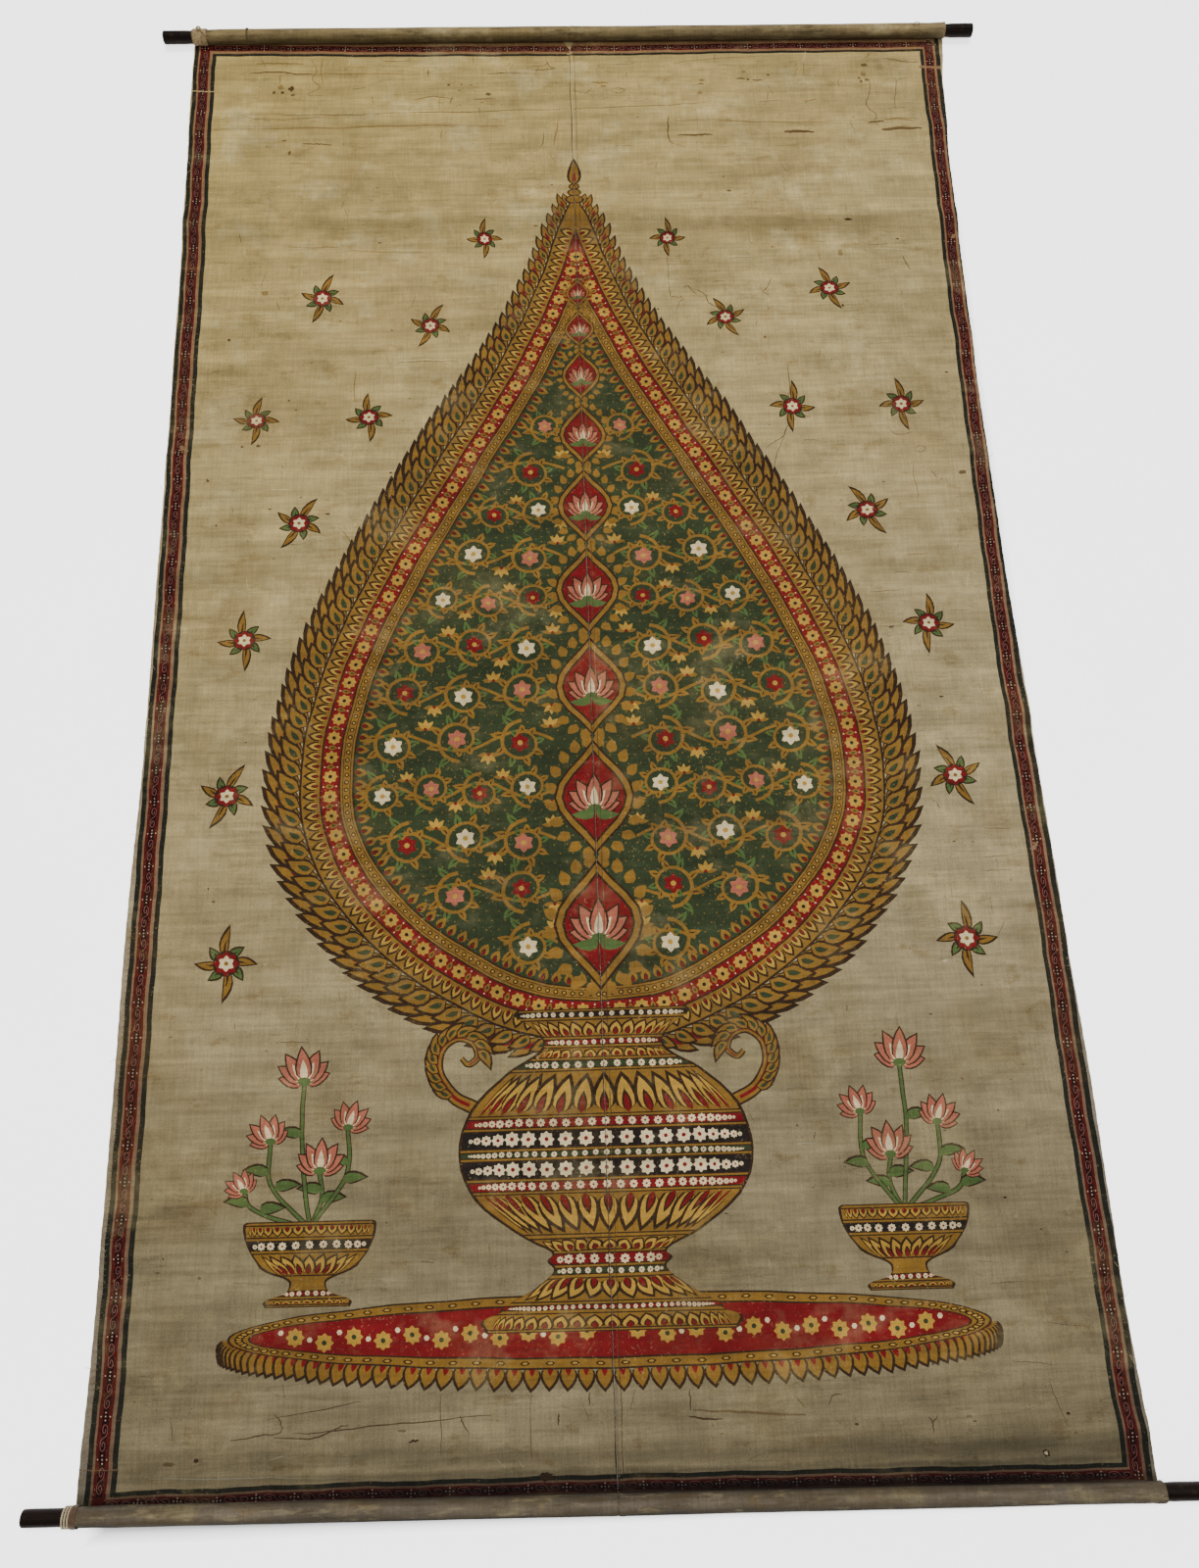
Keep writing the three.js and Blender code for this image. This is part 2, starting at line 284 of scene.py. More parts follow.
def place(x, v, painted):
    """Where a point of the painted face, or of the reverse, lies in space."""
    flat_v = np.clip(v, BOTTOM_ROLL["y"], TOP_ROLL["y"])
    doubled = doubled_at(x, flat_v)
    y = flat_v + between(SLANTS, "slant", flat_v) * x
    z = base_height(x, flat_v)
    if painted:
        clear = smoothstep((to_roll(flat_v) - ROLL_RADIUS) / (ROLL_APPROACH - ROLL_RADIUS))
        z = z + THICK + clear * (doubled * DOUBLED["flat_rise"] + crease_height(x, flat_v))
    for roll in (TOP_ROLL, BOTTOM_ROLL):
        past = roll["outward"] * (v - roll["y"])
        wound = past > 0
        angle = past[wound] / WIND_RADIUS
        radius = np.full(angle.shape, ROLL_RADIUS - THICK)
        if not painted:
            ease = smoothstep(np.minimum(angle, math.radians(WOUND_DEGREES) - angle) / ROLL_EASE)
            slack = doubled[wound] * DOUBLED["wound_rise"] + wrinkles(x[wound], angle)
            radius = ROLL_RADIUS + ease * slack
        y[wound] = roll["y"] + roll["slant"] * x[wound] + roll["outward"] * radius * np.sin(angle)
        z[wound] = AXIS_Z - radius * np.cos(angle)
    return as_points(x, y, z)


NORMAL_STEP = 0.4


def cloth_normals(x, v, painted):
    """The direction in which the cloth faces, from its slope over a short step."""
    step = NORMAL_STEP
    across = place(x + step, v, painted) - place(x - step, v, painted)
    along = place(x, v + step, painted) - place(x, v - step, painted)
    normal = unit(np.cross(across, along))
    return normal if painted else -normal


# Stains on the plain cloth: middle, half size, and depth, below 0 where it is paler.
SOILING = table("x y wide tall depth", [
    (-560, 1310, 110, 80, 0.06), (-640, 1380, 60, 8, 0.10), (-670, 1163, 70, 14, 0.12),
    (-690, 1125, 60, 22, 0.06), (-270, 1170, 70, 6, -0.10), (-60, 1270, 50, 40, -0.05),
    (700, 1335, 60, 30, 0.09), (640, 1240, 60, 30, 0.05), (560, 1080, 60, 60, -0.11),
    (-690, 1365, 90, 40, 0.14), (690, 1365, 90, 40, 0.10), (-570, 590, 110, 80, 0.07),
    (-690, 420, 50, 140, 0.10), (-650, 60, 60, 120, 0.07), (-612, 70, 34, 56, -0.11),
    (-731, -70, 18, 66, 0.08), (-560, -1290, 110, 30, -0.06), (-600, 240, 120, 50, -0.04),
    (700, 260, 60, 700, 0.03), (560, 110, 70, 60, 0.06), (738, 80, 8, 46, 0.10),
    (-5, 250, 6, 900, 0.14), (-5, -700, 6, 500, 0.12), (-190, 700, 60, 70, 0.05),
    (250, 860, 110, 60, 0.04), (-540, 150, 50, 36, -0.06), (420, 1060, 40, 60, 0.05),
    (-330, 1120, 70, 30, 0.05), (640, -900, 60, 160, 0.05), (-690, -500, 40, 160, 0.05),
    (690, 60, 50, 90, -0.05), (-640, -760, 60, 60, -0.05), (150, -1336, 10, 40, -0.06),
    (560, 420, 70, 50, -0.04),
])
# Painted shade on the cloth, painted or plain, along its folds and beside its rolls.
# Where the depth is below 0 it is painted light: the lit side of a fold or crease, and a strip below the
# top roll.
SHADING = table("x y wide tall depth", [
    (0, 938, 1000, 23, 0.20), (0, 951, 1000, 10, 0.07), (470, 938, 400, 21, 0.09),
    (0, 1002, 900, 26, -0.05), (-560, 938, 300, 22, 0.08), (430, 1204, 380, 13, 0.11),
    (-450, 1202, 340, 8, 0.07), (640, 660, 150, 46, 0.11), (-590, 598, 210, 22, 0.05),
    (0, 388, 820, 15, 0.05), (570, -172, 240, 15, 0.10), (-570, -176, 240, 14, 0.06),
    (690, -586, 100, 9, 0.10), (-610, -1024, 200, 20, 0.07), (0, -1374, 1200, 36, 0.30),
    (0, -1374, 900, 3.5, -0.14), (0, -1382, 900, 5, 0.22), (0, -1412, 1200, 17, 0.72),
    (420, -1404, 430, 14, 0.10), (0, 1451, 1000, 5, 0.40), (0, 1427, 1000, 6, -0.55),
    (660, -1352, 230, 62, 0.30),
])
# How dark the plain cloth is along its length. It darkens towards its foot.
AGEING = table("y depth", [
    (1440, 0.06), (1250, 0.04), (900, 0.08), (400, 0.13), (0, 0.21), (-400, 0.26), (-600, 0.34),
    (-800, 0.46), (-1000, 0.54), (-1200, 0.58), (-1420, 0.60),
])


PATCH_FALL = 1.6


def patches(rows, x, v):
    """How deep a table's soft-edged oval patches are, all together."""
    depth = np.zeros_like(v)
    for patch in rows:
        across = (x - patch["x"]) / patch["wide"]
        along = (v - patch["y"]) / patch["tall"]
        depth += patch["depth"] * np.exp(-(across ** 2 + along ** 2) ** PATCH_FALL)
    return depth


# The painting: coloured outlines in the order in which they are laid, in cloth millimetres.
SHAPES = []


def waver(points):
    """A brush's small unevenness."""
    x, v = points[:, 0], points[:, 1]
    across = 0.7 * np.sin(v / 21 + x / 90) + 0.35 * np.sin(v / 7.7 + x / 13)
    along = 0.7 * np.sin(x / 23 - v / 110) + 0.35 * np.sin(x / 8.1 - v / 15)
    return points + as_points(across, along)


def paint(points, colour):
    points = waver(np.asarray(points, float))
    after = np.roll(points, -1, axis=0)
    turn = np.sum(points[:, 0] * after[:, 1] - after[:, 0] * points[:, 1])
    SHAPES.append((points if turn > 0 else points[::-1], colour))


# The picture ends well above the bottom border.
PICTURE_SQUEEZE = 0.9667
PICTURE_RAISE = 37.1


def paint_centre(points, colour):
    """A shape counted from the banner's axis."""
    paint(np.asarray(points, float) * (1, PICTURE_SQUEEZE) + (SEAM_X, PICTURE_RAISE), colour)


def paint_pair(points, colour):
    """A shape right of the axis, and its mirror image left of it."""
    points = np.asarray(points, float)
    paint_centre(points, colour)
    paint_centre(points * (-1, 1), colour)


def ellipse(middle, wide, tall, steps=10):
    return direction(circling(steps)) * (wide, tall) + middle


def disc(middle, radius, steps):
    return ellipse(middle, radius, radius, steps)


# A petal's width along it is t ** 0.6 * (1 - t), which is PETAL_BELLY where it is greatest.
PETAL_BELLY = 0.347


def petal(base, angle, length, width, curl=0.0, steps=5):
    """A pointed leaf from its base, turning by curl on its way to the tip."""
    t = np.linspace(0, 1, steps + 1)
    ahead = direction(angle + curl * t)
    axis = ahead * (length * t)[:, None] + base
    half = left_of(ahead) * ((0.5 * width / PETAL_BELLY) * t ** 0.6 * (1 - t))[:, None]
    return np.concatenate([axis + half, (axis - half)[-2:0:-1]])


def petals_on(put, base, angle, layers, curl=0.0):
    """Petals laid on one another from one base, each with its length, width, steps and colour."""
    for length, width, steps, colour in layers:
        put(petal(base, angle, length, width, curl, steps), colour)


def ribbon(points, widths):
    points = np.asarray(points, float)
    half = left_of(headings(points)) * np.broadcast_to(np.asarray(widths, float) / 2, len(points))[:, None]
    return np.concatenate([points + half, (points - half)[::-1]])


def coil(middle, radius, start, turns, hand, steps, left_over):
    """A spiral inward, to the share of its radius that is left over."""
    t = np.linspace(0, 1, steps)
    angle = start + hand * 2 * np.pi * turns * t
    return direction(angle) * (radius * (1 - (1 - left_over) * t))[:, None] + middle


def smooth_curve(points, steps=8):
    """A curve through the points, each stretch in a few steps."""
    p = np.asarray(points, float)
    p = np.concatenate([2 * p[:1] - p[1:2], p, 2 * p[-1:] - p[-2:-1]])
    out = []
    for i in range(1, len(p) - 2):
        for t in np.arange(steps) / steps:
            a = 2 * p[i]
            b = p[i + 1] - p[i - 1]
            c = 2 * p[i - 1] - 5 * p[i] + 4 * p[i + 1] - p[i + 2]
            d = 3 * p[i] - p[i - 1] - 3 * p[i + 1] + p[i + 2]
            out.append((a + b * t + c * t ** 2 + d * t ** 3) / 2)
    out.append(p[-2])
    return np.array(out)


def stations(points, pitch, start=0.0):
    """Places a pitch apart along a line, each with the line's heading there."""
    steps = np.linalg.norm(np.diff(points, axis=0), axis=1)
    run = np.concatenate([[0], np.cumsum(steps)])
    at = np.arange(start, run[-1], pitch)
    x = np.interp(at, run, points[:, 0])
    v = np.interp(at, run, points[:, 1])
    index = np.clip(np.searchsorted(run, at) - 1, 0, len(steps) - 1)
    ahead = np.diff(points, axis=0)[index]
    return list(zip(as_points(x, v), np.arctan2(ahead[:, 1], ahead[:, 0])))


# The border: the line where the plain ground ends, and the stripes outward from it.
FIELD_SIDES = table("y left right", [
    (1404, -777, 771), (1300, -775.5, 767), (700, -768, 758.5), (0, -763.5, 754.5),
    (-700, -764, 765.5), (-1250, -765, 774), (-1390, -767, 778),
])
FIELD_TOP = table("y v", [
    (800, 1395), (350, 1395), (20, 1392.5), (-350, 1395), (-700, 1401.5), (-800, 1403),
])
FIELD_BOTTOM = table("y v", [
    (800, -1387), (350, -1386), (20, -1386), (-350, -1389), (-700, -1393.5), (-800, -1395),
])
STRIPES = table("colour left right top bottom", [
    ("edge_line", 8.4, 7.6, 6.6, 6.5),
    ("tan", 6.0, 3.4, 6.6, 3.2),
    ("border_red", 20.5, 18.8, 14.0, 13.0),
    ("tan", 3.6, 5.0, 11.0, 5.0),
    ("edge_line", 8.0, 9.0, 6.0, 6.0),
])
STRIPE_STEP = 13
BORDER_REPEAT = 59
BORDER_START = 22
RED_RUN_X = (-784.0, 790.0)
RED_RUN_V = (-1402.0, 1418.0)
SCROLL = {"reach": 10.5, "squeeze": 0.52, "turns": 1.35, "steps": 15, "left_over": 0.22, "width": 1.1}
# The dark ground behind the motifs, as shares of the red stripe's width, and the sway of its edge.
DARK_GROUND = {"strip": 0.44, "sway": 1.0, "by_scroll": 0.33, "by_cross": 0.27}
CROSS = {"arm": 5.6, "arm_share": 0.34, "dot": 1.3}


def frame_line(reach):
    """The closed line that lies a reach outside the plain ground on each side, with square corners."""
    corner = {}
    for end, rows, up in (("top", FIELD_TOP, 1), ("bottom", FIELD_BOTTOM, -1)):
        for side, out in (("left", -1), ("right", 1)):
            x = out * CLOTH_WIDTH / 2
            for _ in range(3):
                v = float(between(rows, "v", x)) + up * reach[end]
                x = float(between(FIELD_SIDES, side, v)) + out * reach[side]
            corner[side, end] = (x, v)
    runs = []
    for side, out, first, last in (("right", 1, "bottom", "top"), ("left", -1, "top", "bottom")):
        (_, start), (_, stop) = corner[side, first], corner[side, last]
        v = np.linspace(start, stop, int(abs(stop - start) / STRIPE_STEP))
        runs.append(as_points(between(FIELD_SIDES, side, v) + out * reach[side], v))
        rows, up = (FIELD_TOP, 1) if last == "top" else (FIELD_BOTTOM, -1)
        steps = int(CLOTH_WIDTH / STRIPE_STEP)
        x = np.linspace(corner["right", last][0], corner["left", last][0], steps)[1:-1]
        x = x if last == "top" else x[::-1]
        runs.append(as_points(x, between(rows, "v", x) + up * reach[last]))
    return np.concatenate(runs)


def s_scroll(middle, heading):
    """An S of two spirals, its length along the heading."""
    reach = SCROLL["reach"]
    upper = coil((0, reach), reach, -np.pi / 2, SCROLL["turns"], 1, SCROLL["steps"], SCROLL["left_over"])
    line = np.concatenate([-upper[::-1], upper[1:]]) * (SCROLL["squeeze"], 1)
    ahead = direction(heading - np.pi / 2)
    return ribbon(line @ np.stack([ahead, left_of(ahead)]) + middle, SCROLL["width"])


def border_motifs(line, width):
    """Scrolls and crosses of dots by turns along the middle of a red stripe."""
    sway = DARK_GROUND["sway"] * np.sin(np.arange(len(line)) * 1.9)
    paint(ribbon(line, DARK_GROUND["strip"] * width + sway), "maroon")
    for middle, heading in stations(line, BORDER_REPEAT, BORDER_START):
        ahead = direction(heading)
        aside = left_of(ahead)
        cross = middle + ahead * BORDER_REPEAT / 2
        lobe = SCROLL["reach"] * ahead
        grounds = ((middle - lobe, "by_scroll"), (middle + lobe, "by_scroll"), (cross, "by_cross"))
        for spot, share in grounds:
            paint(disc(spot, DARK_GROUND[share] * width, 10), "maroon")
        paint(s_scroll(middle, heading), "scroll_pink")
        along, across = CROSS["arm"] * ahead, CROSS["arm_share"] * width * aside
        for spot in (cross, cross + along, cross - along, cross + across, cross - across):
            paint(disc(spot, CROSS["dot"], 6), "dot")


def paint_border():
    sides = ("left", "right", "top", "bottom")
    reach = {side: 0.0 for side in sides}
    crease_shade_lines = [(frame_line(reach), "ground")]
    for stripe in STRIPES:
        inner = dict(reach)
        for side in sides:
            reach[side] += stripe[side]
        crease_shade_lines.append((frame_line(reach), stripe["colour"]))
        if stripe["colour"] == "border_red":
            red = {side: (inner[side] + reach[side]) / 2 for side in sides}
            width = stripe
    for line, colour in reversed(crease_shade_lines):
        paint(line, colour)
    x = np.arange(*RED_RUN_X, STRIPE_STEP)
    v = np.arange(*RED_RUN_V, STRIPE_STEP)
    for side, sign in (("left", -1), ("right", 1)):
        border_motifs(as_points(between(FIELD_SIDES, side, v) + sign * red[side], v), width[side])
    for side, rows, sign in (("top", FIELD_TOP, 1), ("bottom", FIELD_BOTTOM, -1)):
        border_motifs(as_points(x, between(rows, "v", x) + sign * red[side]), width[side])


# The picture: a footed vase with a great flame-edged bud of scrolling flowers, all symmetrical.
BUD = smooth_curve([
    (0, -800), (120, -786), (250, -728), (392, -618), (497, -468), (528, -300), (492, -84), (396, 150),
    (276, 380), (160, 600), (84, 780), (46, 900), (16, 985), (0, 1030),
], 10)
BUD_BANDS = table("inset colour", [
    (0, "line"), (4, "gold"), (36, "line"), (39, "red"),
    (70, "line"), (73, "gold"), (94, "line"), (97, "green"),
])
VASE = [
    (196, -1262), (204, -1244), (176, -1232), (170, -1222), (122, -1196), (88, -1168), (98, -1152),
    (90, -1138), (146, -1108), (214, -1054), (240, -984), (220, -908), (160, -850), (112, -820),
    (98, -796), (118, -772), (146, -752), (140, -742),
]
BOWL = [(64, 0), (66, 10), (34, 20), (26, 34), (34, 44), (74, 62), (98, 96), (104, 124), (98, 130)]


def inset_line(line, inset):
    """The line moved inward, as far as it stays right of the axis."""
    moved = line + left_of(headings(line)) * inset
    kept = moved[moved[:, 0] > 1.0]
    low, high = kept[np.argmin(kept[:, 1])], kept[np.argmax(kept[:, 1])]
    return np.concatenate([[(0, low[1])], kept, [(0, high[1] + 6)]])


def whole(line):
    """A closed shape from its right half."""
    return np.concatenate([line, line[-2:0:-1] * (-1, 1)])


def half_width(line, v):
    order = np.argsort(line[:, 1])
    return float(np.interp(v, line[order, 1], line[order, 0]))


def flame(base, angle, length, width, curl, heart):
    """A flame leaf with a dark outline and a coloured heart, on both sides of the axis."""
    ahead = direction(angle)
    paint_pair(petal(base - 2 * ahead, angle, length * 1.16 + 2, width * 1.42, curl), "line")
    paint_pair(petal(base, angle, length, width, curl), "gold")
    paint_pair(petal(base + 0.14 * length * ahead, angle, length * 0.5, width * 0.42, curl, 4), heart)


def rosette(middle, radius, petals, colour, heart, put=paint_pair):
    for angle in circling(petals) + np.pi / 2:
        base = np.asarray(middle) + 0.12 * radius * direction(angle)
        put(petal(base, angle, radius * 0.88, radius * 0.74, 0, 4), colour)
    put(disc(middle, 0.27 * radius, 7), heart)


# A lotus's petals, from the outer ones to the middle one: how far each fans out, and its length.
LOTUS_PETALS = table("fan length", [(1.35, 0.72), (0.95, 0.86), (0.52, 0.96), (0.0, 1.0)])


def lotus(middle, size, lean, put):
    """A lotus flower from the side: its outer petals first, its middle one last."""
    for row in LOTUS_PETALS:
        length = size * row["length"]
        layers = (
            (length * 1.08, size * 0.50, 5, "line"), (length, size * 0.40, 5, "pink"),
            (length * 0.66, size * 0.22, 4, "cream"),
        )
        for sign in ((-1, 1) if row["fan"] else (1,)):
            petals_on(put, middle, np.pi / 2 + lean + sign * row["fan"], layers)
    put(ellipse(middle, 0.2 * size, 0.13 * size, 8), "leaf")


# The rows of flame leaves round the bud.
FLAME_ROWS = table("pitch length width start heart", [(31, 78, 27, 15, "red"), (31, 50, 25, 0, "green")])
# How far in from the bud's edge each row of small motifs lies, and where the green ground begins.
BAND_LEAVES_IN = 34.5
BAND_FLOWERS_IN = 54.5
FINE_LINES_IN = (77, 90)
BEADS_IN = 83.5
INNER_LEAVES_IN = 97.5
GROUND_IN = 104
# Layers of the small leaves on the bud's bands: length, width, steps and colour.
GOLD_BAND_LEAF = (
    (29, 19, 4, "line"), (23, 13.6, 4, "pale_gold"), (15, 7.5, 4, "line"), (11, 4.4, 3, "red"),
)
INNER_LEAF = ((24, 17, 4, "gold"), (15, 8, 4, "line"), (11, 5, 3, "red"))


def paint_bud_rim():
    """Two rows of flame leaves round the bud, shorter near the axis."""
    edge = BUD[8:-6]
    for row in FLAME_ROWS:
        for base, heading in stations(edge, row["pitch"], row["start"]):
            taper = 0.45 + 0.55 * min(1.0, base[0] / 260)
            flame(base, heading - 1.2, row["length"] * taper, row["width"] * taper, 0.4, row["heart"])


def paint_bud_bands():
    for band in BUD_BANDS:
        paint_centre(whole(inset_line(BUD, band["inset"])), band["colour"])
    for base, heading in stations(inset_line(BUD, BAND_LEAVES_IN), 19, 8):
        petals_on(paint_pair, base, heading - np.pi / 2, GOLD_BAND_LEAF)
    for i, (middle, heading) in enumerate(stations(inset_line(BUD, BAND_FLOWERS_IN), 19, 12)):
        if i % 2:
            rosette(middle, 13.5, 8, "pale_gold", "black")
            continue
        aside = left_of(direction(heading))
        paint_pair(petal(middle - 9 * aside, heading + np.pi / 2, 18, 9, 0, 4), "gold")
        paint_pair(petal(middle - 4 * aside, heading + np.pi / 2, 8, 3.6, 0, 3), "green")
        for sign in (-1, 1):
            paint_pair(disc(middle + sign * 11.5 * aside, 1.6, 5), "cream")
    for inset in FINE_LINES_IN:
        paint_pair(ribbon(inset_line(BUD, inset)[1:-1], 1.3), "line")
    for middle, _ in stations(inset_line(BUD, BEADS_IN), 14.5, 5):
        paint_pair(disc(middle, 4.6, 7), "line")
        paint_pair(disc(middle, 2.5, 5), "pale_gold")


def scroll(middle, radius, start, hand, flower):
    """A spiral stem with leaves on its outside and a flower in its heart."""
    line = coil(middle, radius, start, 1.3, hand, 24, 0.30)
    for k in range(1, 21, 2):
        here, after = line[k], line[k + 1]
        heading = np.arctan2(after[1] - here[1], after[0] - here[0]) - hand * 0.6
        length = radius * (0.66 - 0.018 * k)
        colour = "leaf" if k % 6 == 1 else "gold"
        paint_pair(petal(here, heading, length, radius * 0.34, -hand * 0.7, 5), colour)
        paint_pair(petal(here, heading, length * 0.7, radius * 0.07, -hand * 0.6, 3), "line")
    paint_pair(ribbon(line, np.linspace(0.17, 0.09, len(line)) * radius), "gold")
    rosette(line[-1] * 0.35 + np.asarray(middle) * 0.65, radius * 0.44, 6, flower, "pale_gold")


# The vines: their rows, the room that a row needs, the room of one scroll, and half a scroll's height.
VINE_PITCH = 96
VINE_TOP = 620
VINE_ROWS = np.arange(-622, VINE_TOP, VINE_PITCH)
VINE_ROOM = 40
SCROLL_ROOM = 98
SCROLL_HALF = 34
SCROLL_SHARE = 0.44
VINE_WIDTH = 5.5
VINE_BUD_FANS = (-1.5, 1.5, -0.75, 0.75, 0.0)
GROUND_DOTS = {"run": (-680, 700), "row": 17, "pitch": 22, "radius": 1.5}


def paint_vine(number, v, inside):
    """A row of scrolls on a waving vine, as many as have room between the axis and the bud's edge."""
    start = 26 + 46 * smoothstep((VINE_TOP - v) / 900)
    room = min(half_width(inside, v - SCROLL_HALF), half_width(inside, v + SCROLL_HALF)) - start
    if room < VINE_ROOM:
        return
    count = max(1, round(room / SCROLL_ROOM))
    pitch = room / count
    radius = SCROLL_SHARE * min(pitch, VINE_PITCH)
    t = np.linspace(0, 1, 8 * count + 1)
    wave = np.sin(np.pi * count * t + np.pi * (number % 2))
    paint_pair(ribbon(as_points(start + room * t, v + 0.42 * radius * wave), VINE_WIDTH), "gold")
    for k in range(count):
        hand = 1 if (k + number) % 2 else -1
        middle = (start + (k + 0.5) * pitch, v + 0.10 * radius * hand)
        scroll(middle, radius, -hand * np.pi / 2, hand, ("cream", "red", "pink")[(k + number) % 3])
        bud = np.array((start + k * pitch + 4, v - hand * 0.62 * radius))
        for fan in VINE_BUD_FANS:
            colour = "gold" if abs(fan) > 1 else "pale_gold"
            paint_pair(petal(bud, -hand * np.pi / 2 + fan, 0.48 * radius, 0.22 * radius, 0, 4), colour)
        paint_pair(disc(bud, 3.2, 6), "red")


def paint_bud_ground():
    """Rows of vines from the axis outward, with a scroll in each bend, on a ground of gold dots."""
    inside = inset_line(BUD, GROUND_IN)
    for i, v in enumerate(np.arange(*GROUND_DOTS["run"], GROUND_DOTS["row"])):
        first = 8 + GROUND_DOTS["pitch"] / 2 * (i % 2)
        for u in np.arange(first, half_width(inside, v) - 4, GROUND_DOTS["pitch"]):
            paint_pair(disc((u, v), GROUND_DOTS["radius"], 5), "gold")
    for i, v in enumerate(VINE_ROWS):
        paint_vine(i, v, inside)
    for base, heading in stations(inset_line(BUD, INNER_LEAVES_IN), 23, 10):
        petals_on(paint_pair, base, heading + np.pi / 2, INNER_LEAF)


def ogee(middle, wide, tall, steps=9):
    """A pointed oval."""
    t = np.linspace(-1, 1, steps)
    return whole(as_points(wide * np.cos(np.pi * t / 2) ** 1.25, tall * t)) + middle


# The pointed ovals on the axis: middle and half height. Each has rings of colour, from the outermost in.
CARTOUCHES = table("v tall", [
    (-590, 112), (-352, 104), (-132, 96), (70, 88), (254, 78), (416, 68), (556, 56), (670, 44), (760, 34),
])
CARTOUCHE_RINGS = table("grow colour", [(1.06, "line"), (1.0, "gold"), (0.86, "line"), (0.80, "red")])
CARTOUCHE_LEAVES = 10


def paint_cartouches():
    """Red pointed ovals with a lotus in each, on the axis."""
    for row in CARTOUCHES:
        v, tall = row["v"], row["tall"]
        wide = tall * 0.66
        for k in range(CARTOUCHE_LEAVES):
            angle = np.pi / 2 - np.pi * (k + 0.5) / CARTOUCHE_LEAVES
            rim = direction(angle) * (wide * 0.96, tall * 0.92) + (0, v)
            paint_pair(petal(rim, angle, tall * 0.26, tall * 0.2, 0.3, 4), "gold")
        for ring in CARTOUCHE_RINGS:
            paint_centre(ogee((0, v), wide * ring["grow"], tall * ring["grow"]), ring["colour"])
        lotus(np.array((0, v - 0.22 * tall)), 0.62 * tall, 0, paint_centre)
        for sign in (-1, 1):
            angle = -np.pi / 2 + sign * 0.9
            leaf = petal((0, v - 0.26 * tall), angle, 0.42 * tall, 0.2 * tall, sign * 0.5, 4)
            paint_centre(leaf, "leaf")


def petal_between(base, tip, width, steps=5):
    """A pointed leaf from its base to its tip."""
    reach = np.asarray(tip, float) - base
    return petal(base, math.atan2(reach[1], reach[0]), math.hypot(*reach), width, 0, steps)


def vessel(outline, foot, put, bands):
    """A gold vessel from its right half outline, with rows of petals or flowers round it."""
    line = smooth_curve(np.asarray(outline, float), 4)
    middle = np.asarray(foot, float)
    rim = np.concatenate([line, line[::-1] * (-1, 1)])
    low, high = rim[:, 1].min(), rim[:, 1].max()
    grown = rim + np.sign(rim) * (3.2, 0)
    grown[:, 1] += np.where(grown[:, 1] > (low + high) / 2, 2.0, -2.0)
    put(grown + middle, "line")
    put(rim + middle, "gold")
    order = np.argsort(line[:, 1])
    for band in bands:
        paint_band(lambda v: np.interp(v, line[order, 1], line[order, 0]), middle, put, band)


# The layers of a petal on a vessel: length and width as shares of the band's, and colour.
BAND_PETAL = table("length width colour", [
    (1.0, 1.12, "line"), (0.86, 0.80, "pale_gold"), (0.56, 0.46, "line"), (0.46, 0.28, "red"),
])
# Motifs nearer to the vessel's side than this are left out, as the cosine of their angle round it.
SIDE_LIMIT = 0.16


def paint_band(wide_at, middle, put, band):
    """One band round a vessel, with its motifs closer together towards the sides."""
    low, high = band["low"], band["high"]
    levels = np.linspace(low, high, 9)
    for shrink, colour in ((0.0, "line"), (2.2, band["colour"])):
        v = np.clip(levels, low + shrink, high - shrink)
        right = as_points(np.maximum(wide_at(v) - 0.6 * shrink, 1), v)
        put(np.concatenate([right, right[::-1] * (-1, 1)]) + middle, colour)
    foot_v, tip_v = (low + 2, high - 3) if band["up"] else (high - 2, low + 3)
    for k in range(band["count"]):
        lean = np.pi * ((k + 0.5) / band["count"] - 0.5)
        base = np.array((0.97 * wide_at(foot_v) * np.sin(lean), foot_v))
        tip = np.array((0.95 * wide_at(tip_v) * np.sin(lean), tip_v))
        width = np.pi * wide_at((low + high) / 2) / band["count"] * np.cos(lean)
        if np.cos(lean) < SIDE_LIMIT:
            continue
        if band["motif"] == "petal":
            for layer in BAND_PETAL:
                end = base + (tip - base) * layer["length"]
                put(petal_between(base, end, width * layer["width"]) + middle, layer["colour"])
        else:
            size = min(width, 0.86 * (high - low)) * 0.5
            rosette((base + tip) / 2 + middle, size, 8, "cream", "red", put)


VASE_BANDS = table("low high colour motif count up", [
    (-1260, -1234, "gold", "petal", 21, True),
    (-1230, -1221, "red", "flower", 41, True),
    (-1218, -1180, "gold", "petal", 13, False),
    (-1176, -1164, "green", "flower", 15, True),
    (-1161, -1142, "red", "flower", 11, True),
    (-1139, -1118, "gold", "petal", 13, True),
    (-1114, -1046, "gold", "petal", 17, False),
    (-1043, -1026, "red", "flower", 31, True),
    (-1023, -992, "black", "flower", 21, True),
    (-989, -977, "green", "flower", 41, True),
    (-974, -943, "black", "flower", 21, True),
    (-940, -923, "red", "flower", 31, True),
    (-920, -846, "gold", "petal", 17, True),
    (-843, -828, "green", "flower", 19, True),
    (-825, -806, "gold", "petal", 15, True),
    (-803, -792, "red", "flower", 19, True),
    (-789, -758, "gold", "petal", 15, True),
    (-755, -744, "black", "flower", 25, True),
])
BOWL_BANDS = table("low high colour motif count up", [
    (1, 12, "gold", "petal", 11, True),
    (14, 24, "red", "flower", 9, True),
    (46, 84, "gold", "petal", 11, True),
    (87, 103, "black", "flower", 13, True),
    (106, 127, "gold", "petal", 17, False),
])


HANDLE = smooth_curve([
    (212, -906), (252, -884), (276, -846), (274, -806), (248, -784), (220, -792), (210, -816), (226, -830),
    (238, -820),
], 6)


